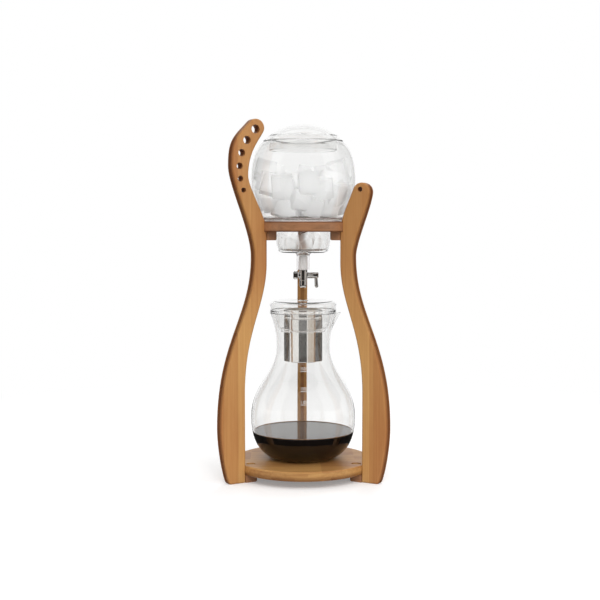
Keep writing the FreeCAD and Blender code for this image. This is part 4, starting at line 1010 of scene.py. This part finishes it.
class TOWER_OT_ice(Operator):
    """Lumps of ice heaped in the vessel and its neck, and the melt water under them"""
    bl_idname = "tower.ice"
    bl_label = "Ice and water"

    def execute(self, context):
        sizes = context.scene.tower_contents
        wall = context.scene.tower_glass.vessel_wall
        side = trace(vessel_side(wall + 0.4 * MM))
        rng = random.Random(sizes.ice_seed)
        tone = tuple(context.scene.tower_colours.ice)
        self.heap("ice_lumps", side, rng, sizes.ice_pitch, sizes.ice_gap, VESSEL_FLOOR + wall + 1 * MM,
                  sizes.ice_level, cloudy_ice("ice", tone, 0.25))
        self.heap("neck_ice", side, rng, sizes.ice_pitch * 0.72, sizes.ice_gap, VESSEL_FLOOR - 41 * MM,
                  VESSEL_FLOOR - 2 * MM, cloudy_ice("neck ice", tone, 1.0, 0.55, 1.05))
        self.water(wall, sizes.water_level)
        return {"FINISHED"}

    def heap(self, name, side, rng, pitch, gap, low, high, ice):
        """Lumps cut from a shaken lattice, so that neighbours nearly touch and none overlaps another."""
        tilt = Euler((0.35, 0.22, 0.5)).to_matrix()
        shaken, uneven, off_floor, off_glass = 0.30, 0.55, 0.25 * pitch, 0.30 * pitch
        seeds = []
        for cell in itertools.product(range(-6, 7), range(-6, 7), range(-5, 6)):
            shake = Vector([rng.uniform(-shaken, shaken) for _ in range(3)])
            spot = tilt @ ((Vector(cell) + shake) * pitch)
            spot += Vector((0, 0, (low + high) / 2))
            crest = high - rng.uniform(0, uneven) * pitch
            if not low + off_floor < spot.z < crest:
                continue
            if math.hypot(spot.x, spot.y) < level_radius(side, spot.z) - off_glass:
                seeds.append(spot)
        walls = self.wall_planes(side, low, high + pitch)
        heap = bmesh.new()
        for spot in seeds:
            lump = self.lump(spot, seeds, walls, pitch, gap, low, rng)
            if lump is not None:
                heap.from_mesh(lump)
                bpy.data.meshes.remove(lump)
        for vertex in heap.verts:
            vertex.co += AXIS
        piece = piece_from(name, mesh_from(name, heap), "vessel", ice)
        bevel = piece.modifiers.new("worn corners", "BEVEL")
        bevel.width = 0.05 * pitch
        bevel.segments = 3
        bevel.limit_method = "ANGLE"
        bevel.angle_limit = math.radians(25)

    def wall_planes(self, side, low, high):
        """Tangent planes of the glass, as a point and an outward direction in the section."""
        planes = []
        for (r1, z1), (r2, z2) in zip(side, side[1:]):
            middle = ((r1 + r2) / 2, (z1 + z2) / 2)
            if low <= middle[1] <= high and abs(z2 - z1) > 1e-5:
                outward = Vector((z1 - z2, r2 - r1)).normalized()
                planes.append((middle, outward))
        return planes

    def lump(self, spot, seeds, walls, pitch, gap, low, rng):
        """A turned block about its seed, cut free of its neighbours, the glass and the floor."""
        bm = bmesh.new()
        near_lump, near_wall, weld, flat = 2.4 * pitch, 1.4 * pitch, 0.6 * MM, math.radians(14)
        size = pitch * rng.uniform(1.0, 1.2)
        turn = Euler([rng.uniform(-0.3, 0.3) for _ in range(3)]).to_matrix().to_4x4()
        stretch = Matrix.Diagonal([size * rng.uniform(0.9, 1.15) for _ in range(3)] + [1])
        bmesh.ops.create_cube(bm, size=1.0, matrix=Matrix.Translation(spot) @ turn @ stretch)

        def cut(point, outward):
            """Take off what lies beyond a plane, and close the hole."""
            everything = bm.verts[:] + bm.edges[:] + bm.faces[:]
            made = bmesh.ops.bisect_plane(bm, geom=everything, plane_co=point, plane_no=outward,
                                          clear_outer=True)
            border = [edge for edge in made["geom_cut"] if isinstance(edge, bmesh.types.BMEdge)]
            if border:
                bmesh.ops.holes_fill(bm, edges=border)

        for other in seeds:
            between = other - spot
            if 0 < between.length < near_lump:
                cut(spot + between / 2 - between.normalized() * gap / 2, between.normalized())
        around = math.atan2(spot.y, spot.x)
        for (radius, level), (out, up) in walls:
            if abs(level - spot.z) > near_wall:
                continue
            for step in range(-4, 5):
                turn = around + step * 0.11
                point = Vector((radius * math.cos(turn), radius * math.sin(turn), level))
                cut(point, Vector((out * math.cos(turn), out * math.sin(turn), up)))
        cut(Vector((0, 0, low)), Vector((0, 0, -1)))
        bmesh.ops.remove_doubles(bm, verts=bm.verts, dist=weld)
        bmesh.ops.dissolve_limit(bm, angle_limit=flat, verts=bm.verts, edges=bm.edges)
        if len(bm.faces) < 4:
            bm.free()
            return None
        mesh = bpy.data.meshes.new("lump")
        bm.to_mesh(mesh)
        bm.free()
        return mesh

    def water(self, wall, level):
        """Melt water from its curved surface down to the stopper and the valve's inlet tube."""
        side = trace(vessel_side(wall + 0.05 * MM))
        radius = level_radius(side, level)
        clear = 0.1 * MM
        stopper_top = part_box("stopper")[1].z + clear
        inlet_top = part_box("valve_body")[1].z + clear
        inlet, dip = 3.0 * MM, level - 0.4 * MM
        wet = [(radius, level)] + [point for point in side if stopper_top < point[1] < level]
        section = wet + [(wet[-1][0], stopper_top), (inlet, stopper_top), (inlet, inlet_top), (0, inlet_top)]
        section += [(0, dip), (radius * 0.5, dip), (radius - 3 * MM, dip),
                    (radius - 1 * MM, level - 0.2 * MM)]
        water = clear_glass("melt water", (0.72, 0.76, 0.77), 6.0, 0.05 * MM, edge=0.15, ior=1.33,
                            depth_scale=25.0)
        turned_piece("melt_water", section, "vessel", water)


class TOWER_OT_valve(Operator):
    """Steel drip valve: body, ribbed barrel, spindle, nut, lever and tip"""
    bl_idname = "tower.valve"
    bl_label = "Drip valve"

    def execute(self, context):
        colours = context.scene.tower_colours
        steel = polished_steel("polished steel", tuple(colours.steel), rough=0.03, smear=0.06)
        for name in ("valve_body", "valve_barrel", "valve_spindle", "valve_nut", "outlet_tip"):
            dress(name, steel)
        dress("valve_washer", soft_silicone("silicone", tuple(colours.silicone)))
        self.lever(steel)
        return {"FINISHED"}

    def lever(self, steel):
        """A rounded hub on the spindle and a pin that leans out from it."""
        low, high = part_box("valve_lever")
        hub = (high.y - low.y) / 2
        middle = Vector(((low.x + high.x) / 2, (low.y + high.y) / 2, high.z - hub))
        ease = 0.6 * MM
        end_to_end = ((low.x, hub - ease), (low.x + 0.18 * ease, hub - 0.38 * ease), (low.x + ease, hub),
                      (high.x - ease, hub), (high.x - 0.18 * ease, hub - 0.38 * ease), (high.x, hub - ease))
        bm = bmesh.new()
        loft(bm, [(Vector((x, middle.y, middle.z)), radius, radius, "X") for x, radius in end_to_end])
        wide, deep, lean, root = 2.5 * MM, 3.0 * MM, 1.0 * MM, 0.82
        end = low.z + wide
        pin = [(middle, root * wide, deep, "Z")]
        for share in (0.35, 0.7, 1.0):
            centre = Vector((middle.x + lean * share, middle.y, middle.z + (end - middle.z) * share))
            pin.append((centre, wide * (root + (1 - root) * share), deep, "Z"))
        for turn in map(math.radians, (22, 45, 66, 82)):
            shrink = math.cos(turn)
            centre = Vector((middle.x + lean, middle.y, end - wide * math.sin(turn)))
            pin.append((centre, wide * shrink, deep * shrink, "Z"))
        loft(bm, pin)
        piece_from("lever_steel", mesh_from("lever_steel", bm), "tap", steel,
                   ["valve_lever"])


class TOWER_OT_carafe(Operator):
    """Glass carafe with its pouring lip and the printed scale"""
    bl_idname = "tower.carafe"
    bl_label = "Carafe"

    def execute(self, context):
        sizes = context.scene.tower_glass
        outer = trace(carafe_side(0, 0))
        inner = trace(carafe_side(sizes.carafe_wall, sizes.carafe_floor))
        rim = soften_rim(outer[-1], inner[-1], sizes.rim_round)
        section = outer[:-1] + rim + inner[:-1][::-1]

        def reach(radius, level, turn):
            """The lip's reach, less the wall for a point that lies on the glass's inner side."""
            outside = level_radius(outer, min(level, CARAFE_RIM)) if level > BASE_TOP + 140 * MM else 1
            inset = sizes.carafe_wall if radius < outside - 0.5 * sizes.carafe_wall else 0
            return lip_reach(radius, level, turn, inset)

        turned_piece("carafe_glass", section, "jug", carafe_glass(context.scene), ["carafe"],
                     turns=240, reach=reach)
        self.scale(outer, inner, scale_print(tuple(context.scene.tower_colours.print)))
        return {"FINISHED"}

    def held(self, inner, level):
        """Millilitres under a level."""
        total = 0
        for (r1, z1), (r2, z2) in zip(inner, inner[1:]):
            if z1 >= level or z1 == z2:
                continue
            if z2 > level:
                r2, z2 = r1 + (r2 - r1) * (level - z1) / (z2 - z1), level
            total += math.pi / 3 * (z2 - z1) * (r1 * r1 + r1 * r2 + r2 * r2) * 1e6
        return total

    def scale(self, outer, inner, enamel):
        """Short lines with their millilitres over each, laid on the front of the glass."""
        strokes = {"top": (0, 2, 1, 2), "middle": (0, 1, 1, 1), "bottom": (0, 0, 1, 0),
                   "left high": (0, 1, 0, 2), "left low": (0, 0, 0, 1), "right high": (1, 1, 1, 2),
                   "right low": (1, 0, 1, 1)}
        left_out = {"0": ("middle",), "1": ("top", "middle", "bottom", "left high", "left low"),
                    "3": ("left high", "left low"), "5": ("right high", "left low")}
        bm = bmesh.new()

        def bar(x1, z1, x2, z2, half=0.25 * MM):
            """A flat bar; its long side is cut in four, so that it can follow the glass."""
            low_x, high_x, low_z, high_z = x1 - half, x2 + half, z1 - half, z2 + half
            rows = [[bm.verts.new((low_x + (high_x - low_x) * step / 4, z, 0)) for step in range(5)]
                    for z in (low_z, (low_z + high_z) / 2, high_z)]
            for under, over in zip(rows, rows[1:]):
                for step in range(4):
                    bm.faces.new((under[step], under[step + 1], over[step + 1], over[step]))

        line, thin, wide, tall, step, over_line = 4 * MM, 0.17 * MM, 1.5 * MM, 1.6 * MM, 2.8 * MM, 1.8 * MM
        foot, lift = BASE_TOP + 20 * MM, 0.04 * MM
        for amount in (1100, 1300, 1500):
            low, high = foot, CARAFE_RIM - 20 * MM
            for _ in range(40):
                level = (low + high) / 2
                low, high = (level, high) if self.held(inner, level) < amount else (low, level)
            bar(-line, level, line, level)
            for place, digit in enumerate(str(amount)):
                x, z = (place - 1.5) * step - wide / 2, level + over_line
                for name, (x1, z1, x2, z2) in strokes.items():
                    if name not in left_out[digit]:
                        bar(x + x1 * wide, z + z1 * tall, x + x2 * wide, z + z2 * tall, thin)
        side = [point for point in outer if point[1] > foot]
        for vertex in bm.verts:
            across, level, _ = vertex.co
            radius = level_radius(side, level) + lift
            turn = -math.pi / 2 + across / radius
            vertex.co = (AXIS.x + radius * math.cos(turn), AXIS.y + radius * math.sin(turn), level)
        for face in bm.faces:
            if face.normal.dot(face.calc_center_median() - AXIS) < 0:
                face.normal_flip()
        mesh = bpy.data.meshes.new("scale_marks")
        bm.to_mesh(mesh)
        bm.free()
        piece_from("scale_marks", mesh, "jug", enamel)


class TOWER_OT_coffee(Operator):
    """Coffee in the carafe, as its dark body and its mirroring surface, and grounds in the filter"""
    bl_idname = "tower.coffee"
    bl_label = "Coffee"

    def execute(self, context):
        sizes = context.scene.tower_glass
        contents = context.scene.tower_contents
        colours = context.scene.tower_colours
        self.coffee(sizes, contents.coffee_level, tuple(colours.coffee))
        self.grounds(contents.grounds_level, ground_coffee(tuple(colours.grounds)))
        return {"FINISHED"}

    def coffee(self, sizes, level, tone):
        """The body bites a little into the glass, so that no gap shows; the surface climbs the glass."""
        bite, climb = 0.15 * MM, 0.9 * MM
        under = level - 0.5 * MM
        side = trace(carafe_side(sizes.carafe_wall - bite, sizes.carafe_floor - bite))
        body = [point for point in side if point[1] < under]
        body += [(level_radius(side, under), under), (0, under)]
        turned_piece("coffee", body, "jug", coffee_finish("coffee body", tone, False))
        radius = level_radius(side, level + climb)
        top = [(0, under - 0.1 * MM), (level_radius(side, under) - 0.02 * MM, under - 0.1 * MM),
               (radius, level + climb), (radius - 0.5 * MM, level + 0.45 * climb),
               (radius - 1.4 * MM, level + 0.12 * climb), (radius - 3 * MM, level), (radius * 0.5, level),
               (0, level)]
        turned_piece("coffee_surface", top, "jug", coffee_finish("coffee surface", tone, True))

    def grounds(self, high, loose):
        """A shallow heap of grounds on the filter's screen, with a rough top."""
        rng = random.Random(5)
        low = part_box("filter_screen")[1].z + 0.3 * MM
        radius, rough = 25.8 * MM, 0.5 * MM
        heap = ((0.9, 0.6), (0.75, 1.0), (0.6, 1.5), (0.45, 1.9), (0.3, 2.2), (0.15, 2.3), (0, 2.4))
        section = [(0, low), (radius, low), (radius, high)]
        section += [(radius * share, high + rise * MM) for share, rise in heap]
        bed = lathe(section, 60)
        for vertex in bed.verts:
            if vertex.co.z > high + 0.1 * MM:
                vertex.co.z += rng.uniform(-rough, rough)
        piece_from("coffee_grounds", mesh_from("coffee_grounds", bed), "filter", loose)


class TOWER_OT_filter(Operator):
    """Glass holder, steel filter, screens, spreader and the carafe's lid"""
    bl_idname = "tower.filter"
    bl_label = "Filter and lid"

    SHEET = 0.9 * MM
    TUBE = 27 * MM
    RING_TOP = HOLDER_LOW + 1.6 * MM

    def execute(self, context):
        colours = context.scene.tower_colours
        glass = carafe_glass(context.scene)
        steel = polished_steel("filter steel", tuple(colours.filter_steel), rough=0.09, smear=0.06)
        brushed = polished_steel("brushed steel", tuple(colours.steel), rough=0.22)
        dress("filter_screen", brushed)
        dress("spreader_plate", brushed)
        made = (("filter_holder_glass", self.holder(), "holder", glass, "clear_glass", "filter_holder"),
                ("filter_steel", self.filter_tube(), "filter", steel, "steel_polished", "filter_body"),
                ("spreader_steel", self.spreader(), "spreader", steel, "steel_polished", "spreader_cap"),
                ("carafe_lid_glass", self.lid(), "jug_lid", glass, "clear_glass", "carafe_lid"))
        for name, section, body, finish, slot, replaced in made:
            turned_piece(name, section, body, finish, [replaced])
        return {"FINISHED"}

    def holder(self):
        """A rolled flange on the carafe's rim, a skirt that narrows to a waist, and the ring at its end."""
        seat = CARAFE_RIM + 0.05 * MM
        wall, ease = 1.8 * MM, 0.5 * MM
        flange, skirt, waist, foot = 45 * MM, 39.1 * MM, 34.3 * MM, 31 * MM
        bore, ring_inside, waist_level = 27.5 * MM, 29.1 * MM, seat - 22 * MM
        roll = arc((flange, (seat + HOLDER_TOP) / 2), (HOLDER_TOP - seat) / 2, -90, 90, 8)
        section = [(flange + (radius - flange) * 0.35, level) for radius, level in roll]
        section += trace([(skirt - wall + ease, HOLDER_TOP), (skirt - wall, HOLDER_TOP - ease),
                          (waist - wall, waist_level, -90, -110), (ring_inside, self.RING_TOP)])
        section += [(bore, self.RING_TOP), (bore, HOLDER_LOW), (foot, HOLDER_LOW)]
        return section + trace([(foot, self.RING_TOP), (waist, waist_level + ease, 60, 70),
                                (skirt, seat, 70, 90)])

    def filter_tube(self):
        """The steel tube, with an inner ledge for its screen and the bead that it hangs by."""
        bead, corner, fillet = 1.6 * MM, 1.2 * MM, 0.2 * MM
        ledge = self.TUBE - 4 * MM
        rest = self.RING_TOP + 0.05 * MM
        section = [(ledge, FILTER_LOW)]
        section += arc((self.TUBE - corner, FILTER_LOW + corner), corner, -90, 0, 5)
        section += [(self.TUBE, rest - fillet)]
        section += arc((self.TUBE + bead / 2, rest + bead / 2), bead / 2, -90, 90, 8)
        section += [(self.TUBE, rest + bead + fillet)]
        section += arc((self.TUBE - self.SHEET / 2, FILTER_TOP - self.SHEET / 2), self.SHEET / 2, 0, 180, 6)
        return section + [(self.TUBE - self.SHEET, FILTER_LOW + self.SHEET), (ledge, FILTER_LOW + self.SHEET)]

    def spreader(self):
        """The cap: a spigot inside the tube, a rolled seat on it, a groove and the brim."""
        spigot = self.TUBE - self.SHEET - 0.1 * MM
        cup = spigot - self.SHEET
        seat = CAP_LOW + 4 * MM
        roll, chamfer, edge = 0.9 * MM, 0.4 * MM, 0.3 * MM
        groove, rolled = self.TUBE - 0.8 * MM, self.TUBE - roll
        section = [(cup - 2 * MM, CAP_LOW), (spigot - chamfer, CAP_LOW), (spigot, CAP_LOW + chamfer),
                   (spigot, seat)]
        section += arc((rolled, seat + 1.2 * MM), roll, -60, 60, 6)
        section += [(groove, seat + 2.8 * MM), (groove, CAP_TOP - 5.4 * MM)]
        section += arc((rolled, CAP_TOP - 3.7 * MM), roll, -60, 0, 4)
        section += arc((rolled, CAP_TOP - roll), roll, 0, 90, 4)
        return section + [(cup + edge, CAP_TOP), (cup, CAP_TOP - edge), (cup, CAP_LOW + self.SHEET),
                          (cup - 2 * MM, CAP_LOW + self.SHEET)]

    def lid(self):
        """The carafe's lid: a hanging edge, a flat top and the raised drip hole in its middle."""
        wall, radius, flat, hole = 2.4 * MM, 45.9 * MM, 40.4 * MM, 5 * MM
        lip, edge, below = 1.1 * MM, 0.8 * MM, 0.6 * MM
        top = LID_TOP - 0.7 * MM
        under = top - wall
        section = [(radius - wall, LID_SEAT), (radius - edge, LID_SEAT)]
        section += arc((radius - edge, LID_SEAT + edge), edge, -70, 0, 4)
        section += trace([(radius, top - 5.5 * MM), (flat, top, 90, 180, 0.45, 0.36)])
        section += arc((hole + lip, top - 0.4 * MM), lip, 20, 180, 8)
        section += [(hole, under - below), (hole + 2 * lip, under - below), (hole + 2 * lip, under)]
        return section + trace([(flat, under), (radius - wall, top - 6.5 * MM, 0, -90, 0.36, 0.45)])


class TOWER_PT_panel(Panel):
    """Sizes, colours and the steps that build the tower"""
    bl_idname = "TOWER_PT_panel"
    bl_label = "Cold drip tower"
    bl_space_type = "VIEW_3D"
    bl_region_type = "UI"
    bl_category = "Drip tower"

    def draw(self, context):
        for settings in ("tower_stage", "tower_glass", "tower_contents", "tower_colours"):
            box = self.layout.box()
            group = getattr(context.scene, settings)
            for name in group.bl_rna.properties.keys():
                if name not in ("rna_type", "name"):
                    box.prop(group, name)
        for step in STEPS:
            self.layout.operator(step.bl_idname)


STEPS = (TOWER_OT_stage, TOWER_OT_bamboo, TOWER_OT_ice_vessel, TOWER_OT_dome_lid, TOWER_OT_ice,
         TOWER_OT_valve, TOWER_OT_carafe, TOWER_OT_coffee, TOWER_OT_filter)
GROUPS = {"tower_stage": StageSizes, "tower_glass": GlassSizes, "tower_contents": ContentSizes,
          "tower_colours": TowerColours}


def register():
    for group in GROUPS.values():
        bpy.utils.register_class(group)
    for name, group in GROUPS.items():
        setattr(bpy.types.Scene, name, PointerProperty(type=group))
    for step in STEPS:
        bpy.utils.register_class(step)
    bpy.utils.register_class(TOWER_PT_panel)


def unregister():
    bpy.utils.unregister_class(TOWER_PT_panel)
    for step in reversed(STEPS):
        bpy.utils.unregister_class(step)
    for name in GROUPS:
        delattr(bpy.types.Scene, name)
    for group in reversed(list(GROUPS.values())):
        bpy.utils.unregister_class(group)


def main():
    register()
    for step in STEPS:
        family, name = step.bl_idname.split(".")
        getattr(getattr(bpy.ops, family), name)()


if __name__ == "__main__":
    main()
